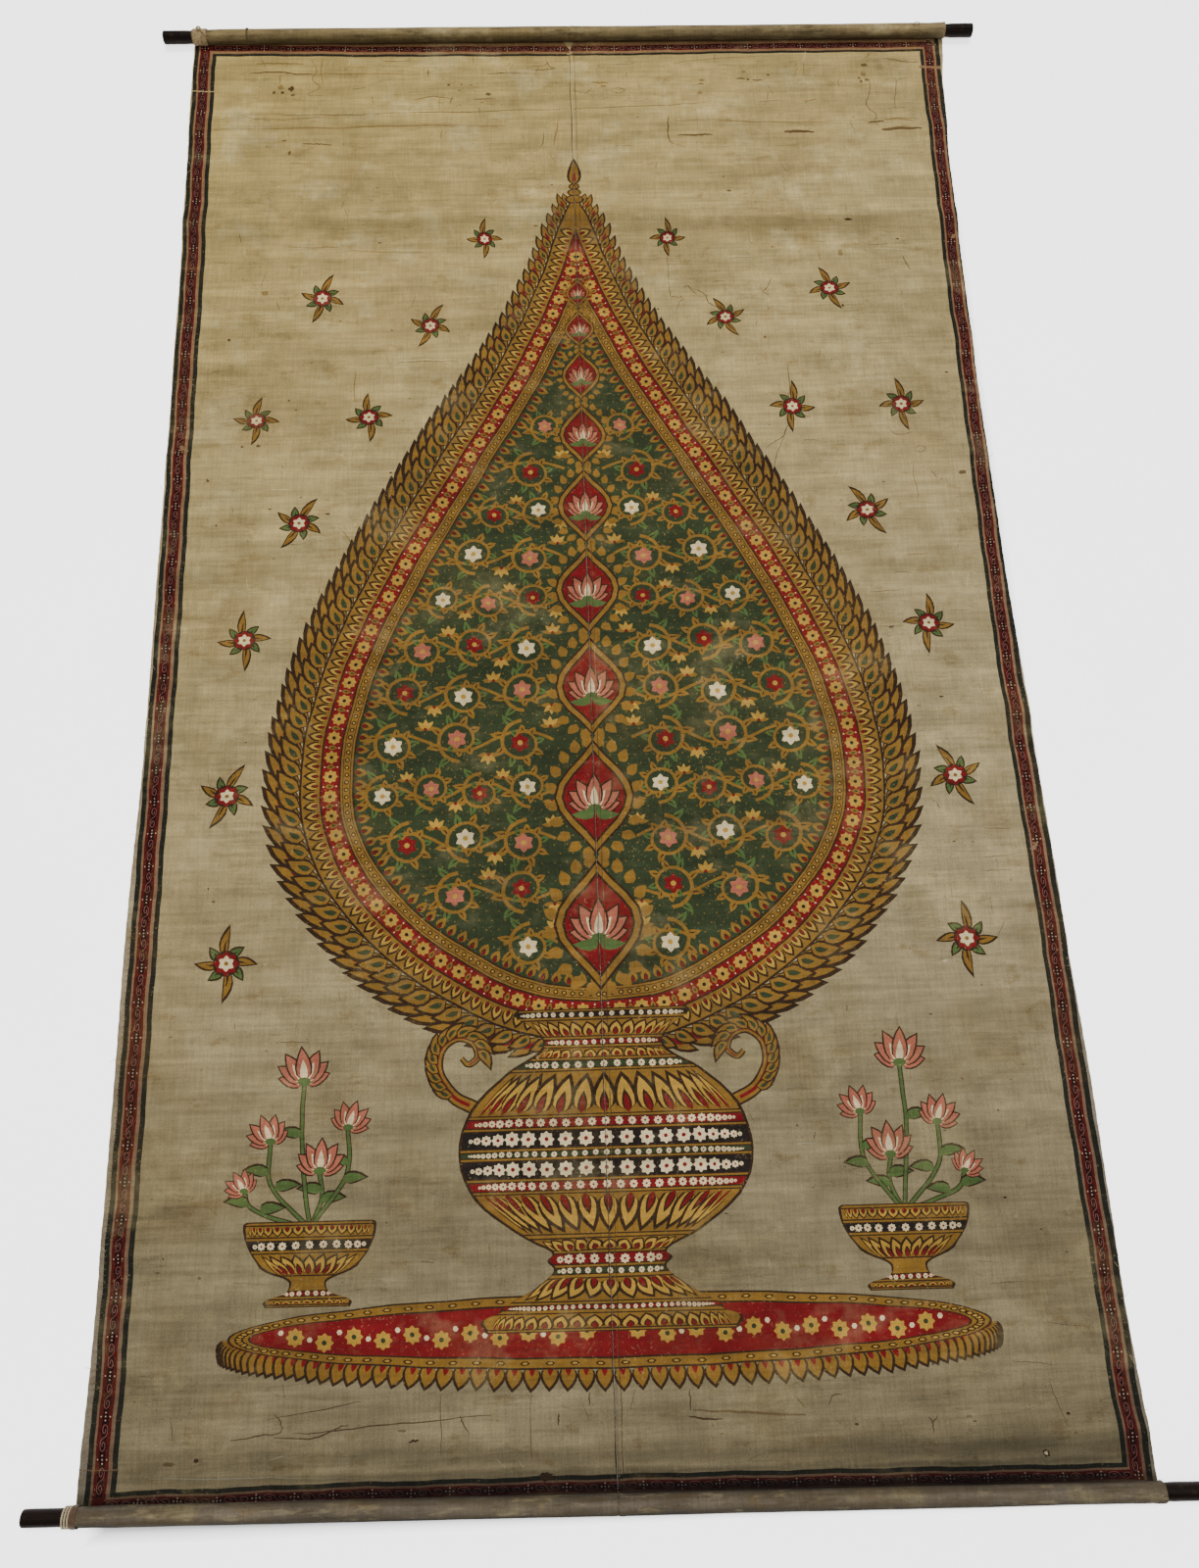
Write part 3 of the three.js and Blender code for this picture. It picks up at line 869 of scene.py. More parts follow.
def paint_vase():
    paint_pair(ribbon(HANDLE, np.linspace(25, 9, len(HANDLE))), "line")
    paint_pair(ribbon(HANDLE, np.linspace(18, 4, len(HANDLE))), "gold")
    paint_pair(ribbon(HANDLE[2:-6], np.linspace(6, 2, len(HANDLE) - 8)), "red")
    for base, heading in stations(HANDLE[6:-14], 15, 4):
        flame(base, heading - 0.9, 36, 15, 0.6, "green")
    vessel(VASE, (0, 0), paint_centre, VASE_BANDS)


# The mat: its middle, its rings from the outermost in, and the layers of each lappet in front.
MAT_MIDDLE = np.array((0, -1262))
MAT_RINGS = table("wide tall colour", [
    (606, 58, "line"), (602, 55, "gold"), (574, 42, "line"), (570, 39, "red"),
])
LAPPETS = 33
LAPPET_LAYERS = ((40, 30, 5, "line"), (34, 23, 5, "gold"), (16, 9, 5, "red"))
MAT_BEADS = 46
MAT_FLOWER_PITCH = 46


def paint_mat():
    """A red oval mat under the vase, with a gold rim and a row of lappets in front."""
    for k in range(LAPPETS):
        angle = -np.pi * (k + 0.5) / (2 * LAPPETS)
        heading = -np.pi / 2 + 0.5 * np.cos(angle)
        petals_on(paint_pair, direction(angle) * (600, 52) + MAT_MIDDLE, heading, LAPPET_LAYERS)
    for ring in MAT_RINGS:
        paint_centre(ellipse(MAT_MIDDLE, ring["wide"], ring["tall"], 72), ring["colour"])
    for k in range(MAT_BEADS):
        angle = np.pi * (k + 0.5) / MAT_BEADS - np.pi / 2
        spot = direction(angle) * (588, 48.5) + MAT_MIDDLE
        paint_pair(ellipse(spot, 8, 3.6, 6), "line")
        paint_pair(ellipse(spot, 4.6, 1.8, 5), "pale_gold")
    for u in np.arange(40, 540, MAT_FLOWER_PITCH):
        lowered = int(u / MAT_FLOWER_PITCH) % 2
        rosette(MAT_MIDDLE + (u, -8 * lowered), 15, 8, "pale_gold", "green")
        paint_pair(disc(MAT_MIDDLE + (u + 23, 8 - 12 * lowered), 4.5, 6), "cream")


def stalk(points, width):
    line = smooth_curve(points, 7)
    paint_pair(ribbon(line, width + 3.2), "line")
    paint_pair(ribbon(line, width), "leaf")


BOWL_FOOT = np.array((482, -1212))
LOTUS_STEMS = table("tip_u tip_v bow size", [
    (470, -1000, -12, 52), (424, -930, -26, 44), (552, -950, 30, 46), (500, -850, 8, 58),
    (590, -1030, 36, 36),
])
STEM_LEAF = ((44, 22, 5, "line"), (39, 16, 5, "leaf"))


def paint_side_bowls():
    """A footed bowl of lotus on each side of the vase."""
    base = BOWL_FOOT + (0, 120)
    for stem in LOTUS_STEMS:
        tip = np.array((stem["tip_u"], stem["tip_v"]))
        stalk([base, (tip + base) / 2 + (stem["bow"], 0), tip], 5)
        for share, sign in ((0.45, 1), (0.62, -1)):
            spot = base + (tip - base) * share + (stem["bow"] * 0.9, 0)
            petals_on(paint_pair, spot, np.pi / 2 + sign * 0.9, STEM_LEAF, sign * 0.5)
    for stem in LOTUS_STEMS:
        lean = (BOWL_FOOT[0] - stem["tip_u"]) / 200
        lotus(np.array((stem["tip_u"], stem["tip_v"])), stem["size"], lean, paint_pair)
    vessel(BOWL, BOWL_FOOT, paint_pair, BOWL_BANDS)


SPRIGS = table("u v size tilt", [
    (640, -640, 40, -0.2), (655, -330, 38, 0.2), (640, -20, 36, -0.3), (548, 230, 36, 0.3),
    (640, 470, 34, -0.1), (420, 470, 34, -0.3), (300, 690, 32, 0.2), (520, 760, 34, 0.1),
    (190, 900, 28, -0.2),
])
# How far a sprig's leaves reach, by turns round it.
SPRIG_REACH = (1.5, 0.8, 1.1, 0.8)


def paint_sprigs():
    """Loose flower sprigs on the plain ground beside the bud."""
    for sprig in SPRIGS:
        spot = np.array((sprig["u"], sprig["v"]))
        size = sprig["size"]
        for k in range(8):
            angle = sprig["tilt"] + np.pi / 2 + k * np.pi / 4
            reach = size * SPRIG_REACH[k % 4]
            colour = "leaf" if k % 2 else "gold"
            layers = (
                (reach, size * 0.46, 5, "line"), (reach * 0.86, size * 0.32, 5, colour),
                (reach * 0.55, size * 0.10, 3, "line"),
            )
            petals_on(paint_pair, spot + 0.3 * size * direction(angle), angle, layers, 0.3)
        paint_pair(disc(spot, 0.58 * size, 14), "line")
        rosette(spot, 0.56 * size, 8, "red", "pale_gold")
        rosette(spot, 0.36 * size, 6, "cream", "gold")


TIP_BEADS = table("v wide tall", [(1004, 16, 9), (1022, 12, 7), (1038, 9, 6)])
TIP_BUD = table("v length width steps colour", [
    (1040, 74, 30, 6, "line"), (1043, 62, 20, 6, "gold"), (1048, 30, 8, 4, "red"),
])


def paint_tip():
    """A small bud above the tip, with beads below it."""
    for bead in TIP_BEADS:
        for grow, colour in ((3, "line"), (0, "gold")):
            paint_centre(ellipse((0, bead["v"]), bead["wide"] + grow, bead["tall"] + grow, 12), colour)
    for leaf in TIP_BUD:
        shape = petal((0, leaf["v"]), np.pi / 2, leaf["length"], leaf["width"], 0, leaf["steps"])
        paint_centre(shape, leaf["colour"])


# Cracks and smears on the plain cloth, and painted shade and highlight along its creases and seam ridge:
# colour, width, and the places that each passes through.
STROKES = table("colour width line", [
    ("crack", 2.2, [
        (-775, 1235), (-640, 1239), (-590, 1236), (-440, 1236),
        (-390, 1240), (-230, 1241), (-110, 1245), (-30, 1246),
    ]),
    ("stain", 2.6, [(-760, 1226), (-720, 1232), (-680, 1226), (-610, 1224), (-545, 1230)]),
    ("stain", 4.0, [(-770, 1198), (-520, 1200), (-400, 1203), (-270, 1203), (-150, 1200)]),
    ("speck", 3.2, [(-700, 1352), (-640, 1356), (-600, 1350), (-565, 1348)]),
    ("stain", 2.4, [(-565, 1348), (-500, 1349), (-330, 1345)]),
    ("stain", 5.0, [(-690, 1380), (-640, 1381), (-585, 1379)]),
    ("crack", 1.8, [(-420, 1385), (-395, 1382), (-350, 1384)]),
    ("crack", 2.2, [(-345, 1277), (-320, 1283), (-300, 1284), (-260, 1277)]),
    ("crack", 2.4, [(-185, 1345), (-150, 1347), (-95, 1345)]),
    ("speck", 2.4, [(-92, 1353), (-65, 1354), (-38, 1358)]),
    ("speck", 1.8, [(-88, 1363), (-60, 1366), (-55, 1373), (-50, 1362), (-38, 1358)]),
    ("crack", 2.4, [(-218, 1276), (-195, 1278), (-175, 1278)]),
    ("speck", 2.0, [(-315, 1358), (-314, 1342)]),
    ("crack", 2.0, [(-264, 1281), (-268, 1264)]),
    ("crack", 1.6, [(-93, 1339), (-88, 1325), (-87, 1315), (-92, 1303)]),
    ("crack", 1.8, [(-66, 1183), (-68, 1160), (-73, 1145)]),
    ("stain", 3.4, [(-35, 1218), (-40, 1180), (-46, 1148)]),
    ("crack", 3.4, [(-580, 1158), (-545, 1157), (-518, 1155)]),
    ("stain", 2.2, [(-570, 1392), (-558, 1360), (-566, 1335), (-549, 1312), (-574, 1291), (-540, 1290)]),
    ("stain", 2.0, [(-545, 1395), (-548, 1355), (-542, 1320)]),
    ("crack", 1.8, [(0, 1248), (60, 1250), (200, 1255), (300, 1262)]),
    ("stain", 3.4, [(215, 1213), (320, 1212), (420, 1204), (560, 1203)]),
    ("crack", 4.6, [(220, 1173), (250, 1172), (275, 1173), (296, 1172)]),
    ("speck", 6.4, [(452, 1178), (480, 1180), (518, 1178)]),
    ("crack", 6.4, [(662, 1182), (690, 1183), (752, 1184)]),
    ("crack", 5.6, [(634, 1200), (650, 1203), (670, 1205)]),
    ("stain", 4.0, [(670, 1210), (700, 1211), (736, 1205)]),
    ("crack", 1.8, [(658, 1397), (656, 1385), (646, 1377)]),
    ("crack", 1.8, [
        (651, 1324), (650, 1295), (645, 1275), (638, 1255),
        (644, 1240), (655, 1225), (650, 1205), (655, 1190),
    ]),
    ("crack", 1.6, [(735, 1322), (712, 1315), (706, 1290), (702, 1260), (700, 1240)]),
    ("speck", 2.4, [(206, 1228), (201, 1205), (200, 1180), (202, 1162), (211, 1151)]),
    ("stain", 1.6, [(211, 1151), (235, 1143)]),
    ("crack", 4.0, [(358, 1325), (368, 1326), (378, 1324)]),
    ("crack", 3.6, [(392, 1321), (405, 1320), (418, 1320)]),
    ("stain", 4.6, [(40, 1320), (58, 1317), (76, 1318)]),
    ("crack", 1.6, [(82, 1297), (96, 1303), (112, 1297), (98, 1289), (82, 1297)]),
    ("crack", 1.6, [(0, 1296), (28, 1291), (40, 1304)]),
    ("crack", 1.4, [(582, 1322), (582, 1300)]),
    ("stain", 3.0, [(500, 1262), (515, 1264), (530, 1268)]),
    ("stain", 2.4, [(220, 1367), (260, 1374), (330, 1382), (420, 1388)]),
    ("crack", 2.4, [(690, 1376), (740, 1361), (768, 1362)]),
    ("crack", 1.5, [(440, 1095), (446, 1080)]),
    ("crack", 1.6, [(183, 880), (184, 830), (182, 790), (184, 762), (194, 757), (213, 753)]),
    ("crack", 1.5, [(213, 750), (204, 745), (197, 724)]),
    ("crack", 1.9, [(230, 776), (245, 772), (257, 760), (262, 742), (278, 730), (296, 715), (306, 699)]),
    ("crack", 1.9, [(211, 780), (222, 785), (228, 775), (239, 761)]),
    ("crack", 1.8, [(398, 802), (388, 780), (376, 765), (384, 758), (391, 749)]),
    ("speck", 2.2, [(676, 853), (680, 835), (687, 817)]),
    ("crack", 1.7, [(413, 586), (414, 560), (413, 522), (402, 505), (417, 513)]),
    ("crack", 1.9, [(420, 463), (400, 445), (392, 425), (375, 415), (356, 400)]),
    ("crack", 1.5, [(399, 440), (385, 405), (372, 375), (368, 361)]),
    ("crack", 2.0, [(427, 479), (437, 470), (448, 467)]),
    ("crack", 1.9, [(602, 441), (612, 428), (626, 425), (652, 430)]),
    ("crack", 1.6, [(650, 393), (660, 398), (670, 392), (662, 383), (650, 387)]),
    ("stain", 1.8, [(645, 356), (641, 330), (645, 300), (643, 271)]),
    ("crack", 1.6, [(678, 341), (688, 325)]),
    ("crack", 1.5, [(340, 147), (355, 145), (370, 142), (386, 143)]),
    ("crack", 1.5, [(-478, 247), (-462, 230), (-452, 212), (-448, 194)]),
    ("crack", 1.6, [(-368, 619), (-320, 620), (-300, 618), (-250, 616)]),
    ("rub", 1.6, [(-368, 622), (-320, 623), (-300, 621), (-255, 619)]),
    ("stain", 3.0, [(-600, 893), (-550, 891), (-495, 890)]),
    ("stain", 1.8, [(-470, 884), (-400, 878), (-320, 876)]),
    ("stain", 2.4, [(-452, 602), (-456, 560), (-454, 528)]),
    ("crack", 2.4, [(-598, -1328), (-560, -1324), (-525, -1320), (-521, -1308), (-532, -1294)]),
    ("crack", 2.4, [(-532, -1326), (-490, -1328), (-460, -1324), (-440, -1316), (-418, -1309)]),
    ("crack", 2.0, [(-505, -1321), (-455, -1319), (-400, -1314), (-300, -1308), (-196, -1300)]),
    ("crack", 1.4, [(-545, -1301), (-450, -1286), (-398, -1277)]),
    ("speck", 3.6, [(-325, -1335), (-309, -1332)]),
    ("crack", 1.4, [(-275, -1270), (-275, -1356)]),
    ("crack", 1.2, [(-136, -1270), (-136, -1366)]),
    ("crack", 3.0, [(-93, -1301), (-93, -1318)]),
    ("crack", 2.2, [(-45, -1271), (-46, -1291)]),
    ("crack", 2.0, [(-245, -1302), (-240, -1315), (-231, -1326)]),
    ("rub", 1.6, [(-190, -1361), (-178, -1373)]),
    ("rub", 1.6, [(-157, -1364), (-149, -1373)]),
    ("rub", 2.0, [(-536, -1357), (-514, -1352)]),
    # A pale line painted along a crease's crest as its highlight.
    ("rub", 1.6, [(-720, -1379), (-560, -1381), (-400, -1384)]),
    ("crack", 2.4, [(112, -1270), (113, -1285), (112, -1300)]),
    ("crack", 3.0, [(108, -1309), (135, -1312), (160, -1313)]),
    ("stain", 4.0, [(115, -1299), (200, -1305), (292, -1310)]),
    ("crack", 1.5, [(275, -1280), (285, -1290), (293, -1300)]),
    ("crack", 1.5, [(328, -1299), (337, -1285), (352, -1283)]),
    ("crack", 2.0, [(484, -1317), (489, -1325), (489, -1339)]),
    ("crack", 1.8, [(497, -1317), (489, -1326)]),
    ("stain", 1.6, [(680, -1270), (688, -1300), (698, -1332)]),
    # A pale line painted along the felled seam's ridge as its highlight.
    ("rub", 1.6, [(-3, 1393), (-3, 1250), (-3, 1088)]),
])
# Round marks on the plain cloth.
SPOTS = table("x v wide tall colour", [
    (-632, 1315, 7, 6, "stain"), (-609, 1310, 7, 7, "speck"), (-628, 1300, 4, 4, "speck"),
    (-646, 1300, 4, 4, "crack"), (-606, 1291, 4, 3, "crack"), (-607, 1133, 3, 6, "crack"),
    (-185, 1291, 6, 5, "crack"), (-270, 1316, 3, 3, "crack"), (-243, 1317, 2, 2, "crack"),
    (-221, 1316, 2, 2, "crack"), (-247, 1301, 5, 2, "stain"), (643, 1355, 8, 4, "crack"),
    (637, 1333, 7, 5, "stain"), (628, 1322, 3, 3, "crack"), (645, 1318, 5, 4, "crack"),
    (632, 1314, 3, 4, "crack"), (282, 1321, 8, 3, "stain"), (280, 1312, 6, 2, "crack"),
    (275, 1288, 6, 4, "stain"), (384, 1323, 3, 3, "crack"), (429, 1334, 3, 3, "crack"),
    (375, 1344, 5, 3, "stain"), (66, 1309, 7, 3, "stain"), (566, 946, 9, 3, "speck"),
    (538, 726, 3, 4, "crack"), (372, 650, 3, 3, "crack"), (403, 882, 3, 2, "crack"),
    (322, 1028, 6, 2, "crack"), (545, 866, 5, 8, "stain"), (740, 338, 8, 4, "crack"),
    (-642, 787, 7, 5, "stain"), (-709, 684, 3, 3, "speck"), (-670, 430, 3, 3, "crack"),
    (-640, 431, 4, 3, "speck"), (-733, 355, 3, 3, "crack"), (-279, 484, 9, 3, "crack"),
    (-245, 460, 4, 2, "crack"), (-412, 901, 4, 2, "speck"), (-640, 532, 2, 2, "speck"),
    (-495, 107, 3, 3, "crack"), (-648, -1355, 4, 3, "speck"), (-690, -1360, 10, 3, "stain"),
    (-115, -1388, 10, 7, "speck"), (662, -1370, 5, 5, "speck"), (662, -1370, 2.6, 2.6, "cream"),
    (-335, -1320, 6, 2, "stain"), (547, -1316, 5, 2, "stain"),
])
# Small flecks and short slubs, scattered at random. Slubs are closer together towards the top.
SPECKS = {"count": 240, "x": (-745, 740), "v": (-1360, 1380), "size": (0.9, 2.4)}
SPECK_COLOURS = ["speck", "stain", "stain", "crack", "rub"]
SLUBS = {"count": 260, "x": (-730, 720), "top": 1370, "run": 2700, "crowding": 1.8, "upright": 0.6}
SLUB_SIZE = {"length": (10, 34), "width": (0.8, 1.5)}
SLUB_COLOURS = {"stain": 0.45, "crack": 0.35, "rub": 0.2}


def wander(points, spread):
    """A line through the points that strays a little to either side."""
    line = smooth_curve(points, 6)
    return line + RNG.normal(0, spread, line.shape)


def blotch(middle, wide, tall, steps=14):
    reach = 1 + RNG.uniform(-0.3, 0.3, steps)
    return direction(circling(steps)) * (wide, tall) * reach[:, None] + middle


def stroke(line, width, colour):
    """A mark that thins out at both ends."""
    thin = np.sin(np.linspace(0.25, np.pi - 0.25, len(line))) ** 0.6
    paint(ribbon(line, width * thin), colour)


def paint_specks():
    for _ in range(SPECKS["count"]):
        spot = (RNG.uniform(*SPECKS["x"]), RNG.uniform(*SPECKS["v"]))
        size = RNG.uniform(*SPECKS["size"])
        colour = RNG.choice(SPECK_COLOURS)
        paint(blotch(spot, size * RNG.uniform(0.8, 2.4), size * RNG.uniform(0.6, 1.2), 6), colour)


def paint_slubs():
    for _ in range(SLUBS["count"]):
        x = RNG.uniform(*SLUBS["x"])
        start = np.array((x, SLUBS["top"] - SLUBS["run"] * RNG.random() ** SLUBS["crowding"]))
        upright = RNG.random() < SLUBS["upright"]
        length = RNG.uniform(*SLUB_SIZE["length"])
        reach = length * np.array((RNG.normal(0, 0.25), 1.0) if upright else (2.0, RNG.normal(0, 0.1)))
        line = wander([start, start + reach * 0.5, start + reach], 0.4)
        width = RNG.uniform(*SLUB_SIZE["width"])
        stroke(line, width, RNG.choice(list(SLUB_COLOURS), p=list(SLUB_COLOURS.values())))


def paint_wear():
    for mark in STROKES:
        stroke(wander(mark["line"], 0.5), mark["width"], mark["colour"])
    for spot in SPOTS:
        paint(blotch((spot["x"], spot["v"]), spot["wide"], spot["tall"]), spot["colour"])
    paint_specks()
    paint_slubs()


# Places where the border's colour has come away, or a pale thread crosses it.
BREAKS = table("x0 x1 v tall colour", [
    (-824, -772, 1306, 2.4, "hem"),
    (764, 812, 1349, 6.0, "tan"),
    (-824, -766, -1365, 1.1, "tan"),
    (-9, -1, 1418, 46.0, "hem"),
    (-790, -782, 430, 12.0, "tan"),
    (772, 780, -420, 14.0, "tan"),
    (782, 790, 905, 10.0, "tan"),
])


BREAK_STEPS = 7


def paint_breaks():
    for gap in BREAKS:
        x = np.linspace(gap["x0"], gap["x1"], BREAK_STEPS)
        line = as_points(x, gap["v"] + RNG.normal(0, 0.6, BREAK_STEPS))
        paint(ribbon(line, gap["tall"] * (1 + RNG.uniform(-0.15, 0.15, BREAK_STEPS))), gap["colour"])


# The marks along the felled seam: how far each lies from it, and its width.
SEAM_MARKS = table("offset width", [(-1.2, 1.5), (9.4, 1.1)])
SEAM_MARK_ENDS = (1393, -1387)
SEAM_MARK_STEPS = 90


def paint_seam():
    """Thin dark lines where the seam is felled, over the picture too."""
    v = np.linspace(*SEAM_MARK_ENDS, SEAM_MARK_STEPS)
    for mark in SEAM_MARKS:
        widths = mark["width"] * RNG.uniform(0.6, 1.3, SEAM_MARK_STEPS)
        paint(ribbon(as_points(SEAM_X + mark["offset"], v), widths), "speck")


def paint_everything():
    paint_border()
    paint_breaks()
    paint_wear()
    paint_sprigs()
    paint_mat()
    paint_side_bowls()
    paint_bud_rim()
    paint_bud_bands()
    paint_bud_ground()
    paint_cartouches()
    paint_tip()
    paint_vase()
    paint_seam()


# Materials.
def linear(rgb):
    share = np.asarray(rgb, float) / 255
    return np.where(share <= 0.04045, share / 12.92, ((share + 0.055) / 1.055) ** 2.4)


class Nodes:
    """A new material's node tree, with short ways to add and join nodes."""

    def __init__(self, name):
        self.material = bpy.data.materials.new(name)
        self.material.use_nodes = True
        self.tree = self.material.node_tree
        self.shader = self.tree.nodes["Principled BSDF"]

    def add(self, kind, inputs=None, **settings):
        node = self.tree.nodes.new("ShaderNode" + kind)
        for key, value in settings.items():
            setattr(node, key, value)
        for key, value in (inputs or {}).items():
            if isinstance(value, bpy.types.NodeSocket):
                self.tree.links.new(value, node.inputs[key])
            else:
                node.inputs[key].default_value = value
        return node

    def math(self, operation, a, b=0.0):
        return self.add("Math", {0: a, 1: b}, operation=operation).outputs[0]

    def ramp(self, factor, low, high, out_low=0.0, out_high=1.0):
        """The factor carried from one range to another, held at its ends."""
        inputs = {"Value": factor, "From Min": low, "From Max": high, "To Min": out_low, "To Max": out_high}
        return self.add("MapRange", inputs).outputs["Result"]

    def noise(self, vector, scale, detail=3.0, rough=0.55):
        inputs = {"Vector": vector, "Scale": scale, "Detail": detail, "Roughness": rough}
        return self.add("TexNoise", inputs).outputs["Fac"]

    def stretched(self, vector, scale):
        return self.add("Mapping", {"Vector": vector, "Scale": scale}).outputs["Vector"]

    def mix(self, factor, a, b, blend="MIX"):
        node = self.add("Mix", data_type="RGBA", blend_type=blend)
        for key, value in ((0, factor), (6, a), (7, b)):
            if isinstance(value, bpy.types.NodeSocket):
                self.tree.links.new(value, node.inputs[key])
            else:
                node.inputs[key].default_value = value
        return node.outputs[2]

    def cover(self, vector, row):
        """How much of a stain lies at each place, from a table's row."""
        stretch = (row["across"], row["along"], row["along"])
        swirl = self.noise(self.stretched(vector, stretch), 1.0, row["detail"], row["rough"])
        return self.ramp(swirl, row["low"], row["high"], 0.0, row["most"])

    def scaled(self, colour, factor):
        """A colour made darker or lighter by a factor."""
        grey = self.add("CombineColor", {0: factor, 1: factor, 2: factor}).outputs[0]
        return self.mix(1.0, colour, grey, "MULTIPLY")

    def bump(self, height, distance, strength=1.0, normal=None):
        inputs = {"Height": height, "Distance": distance, "Strength": strength}
        if normal is not None:
            inputs["Normal"] = normal
        return self.add("Bump", inputs).outputs["Normal"]

    def finish(self, colour, roughness, normal):
        for key, value in (("Base Color", colour), ("Roughness", roughness), ("Normal", normal)):
            self.tree.links.new(value, self.shader.inputs[key])
        return self.material


def rgba(name):
    return (*linear(PAINTS[name][0]), 1.0)


def rgba_node(nodes, name):
    """A paint's colour as a node's output."""
    node = nodes.add("RGB")
    node.outputs[0].default_value = rgba(name)
    return node.outputs[0]


# How the cotton's tone varies: swings in a metre across and along it, and how far each goes.
CLOTH_TONES = table("across along detail swing", [
    (3.5, 4.5, 4, 0.12), (14, 18, 4, 0.10), (2.5, 34, 4, 0.13), (9, 150, 3, 0.11),
    (260, 16, 3, 0.09), (420, 420, 2, 0.12),
])


# Stains over the plain cloth, then grime on the wound cloth: swings in a metre, their detail and
# roughness, the stretch of the noise that shows, and how much of it at most.
STAINING = table("paint across along detail rough low high most", [
    ("stain", 3.4, 3.4, 4, 0.70, 0.50, 0.66, 0.34),
    ("stain", 13, 24, 4, 0.70, 0.59, 0.66, 0.42),
    ("rub", 6, 7, 4, 0.75, 0.53, 0.65, 0.38),
])
GRIME = table("kind across along detail rough low high most", [
    ("smear", 8, 80, 3, 0.65, 0.42, 0.64, 0.45),
    ("blots", 24, 90, 4, 0.60, 0.53, 0.63, 0.38),
    ("scuffs", 17, 75, 3, 0.65, 0.57, 0.64, 0.10),
])
GRIME_COLOUR = (0.050, 0.035, 0.017, 1)
# Painted light: mostly the plain cloth is tinted cooler at the lower right, warmer at the upper left.
TINT_LOW = (0.96, 1.03, 1.40, 1)
TINT_HIGH = (1.0, 0.97, 0.80, 1)
TINT_RANGE = (-1.0, 1.6)
# The weave: bands across and along, their depth in metres and how strongly they show.
WEAVE = {"warp": 175, "weft": 190, "sway": 1.2, "deep": 0.00022, "strength": 0.55}
COTTON_SHEEN = 0.02
COTTON_SPECULAR = 0.12
GILT_POLISH = 0.34


def cotton_shade(n, here, plain):
    """How light the cloth is: stains, painted shade, uneven tone, painted crease shade lines and dirt
    specks.
    """
    soil = n.add("Attribute", attribute_name="Soil").outputs["Fac"]
    shadow = n.add("Attribute", attribute_name="Shade").outputs["Fac"]
    shade = n.math("SUBTRACT", 1.0, n.math("MULTIPLY", soil, plain))
    shade = n.math("MULTIPLY", shade, n.math("SUBTRACT", 1.0, shadow))
    for tone in CLOTH_TONES:
        stretch = (tone["across"], tone["along"], tone["along"])
        swirl = n.noise(n.stretched(here, stretch), 1.0, tone["detail"], 0.6)
        swing = n.ramp(swirl, 0.36, 0.64, 1 - tone["swing"], 1 + 0.8 * tone["swing"])
        shade = n.math("MULTIPLY", shade, swing)
    # Thin dark wandering lines: painted shade of fine creases.
    flow = n.noise(n.stretched(here, (2.2, 17, 17)), 1.0, 3, 0.55)
    crease_shade_lines = n.ramp(n.math("PINGPONG", flow, 0.065), 0.0, 0.009, 1.0, 0.0)
    crease_shade_lines = n.math("MULTIPLY", crease_shade_lines, n.ramp(n.noise(here, 6.5, 3), 0.46, 0.58))
    specks = n.ramp(n.noise(here, 230, 1), 0.70, 0.76)
    specks = n.math("MULTIPLY", specks, n.ramp(n.noise(here, 9, 2), 0.48, 0.58))
    for marks, depth in ((crease_shade_lines, 0.20), (specks, 0.42)):
        shade = n.math("MULTIPLY", shade, n.math("SUBTRACT", 1.0, n.math("MULTIPLY", marks, depth)))
    return shade


def cotton_weave(n, here):
    """The bump of the threads, their slubs and the cloth's small unevenness."""
    bands = []
    for axis, scale in (("X", WEAVE["warp"]), ("Y", WEAVE["weft"])):
        inputs = {"Vector": here, "Scale": scale, "Distortion": WEAVE["sway"], "Detail": 0.0}
        bands.append(n.add("TexWave", inputs, bands_direction=axis).outputs["Fac"])
    slubs = n.noise(n.stretched(here, (40, 420, 420)), 1.0, 2)
    threads = n.math("MULTIPLY", n.math("MAXIMUM", *bands), 0.5)
    height = n.math("ADD", threads, n.math("MULTIPLY", slubs, 0.5))
    normal = n.bump(height, WEAVE["deep"], WEAVE["strength"])
    return n.bump(n.noise(here, 46, 2, 0.6), 0.0012, 0.30, normal)


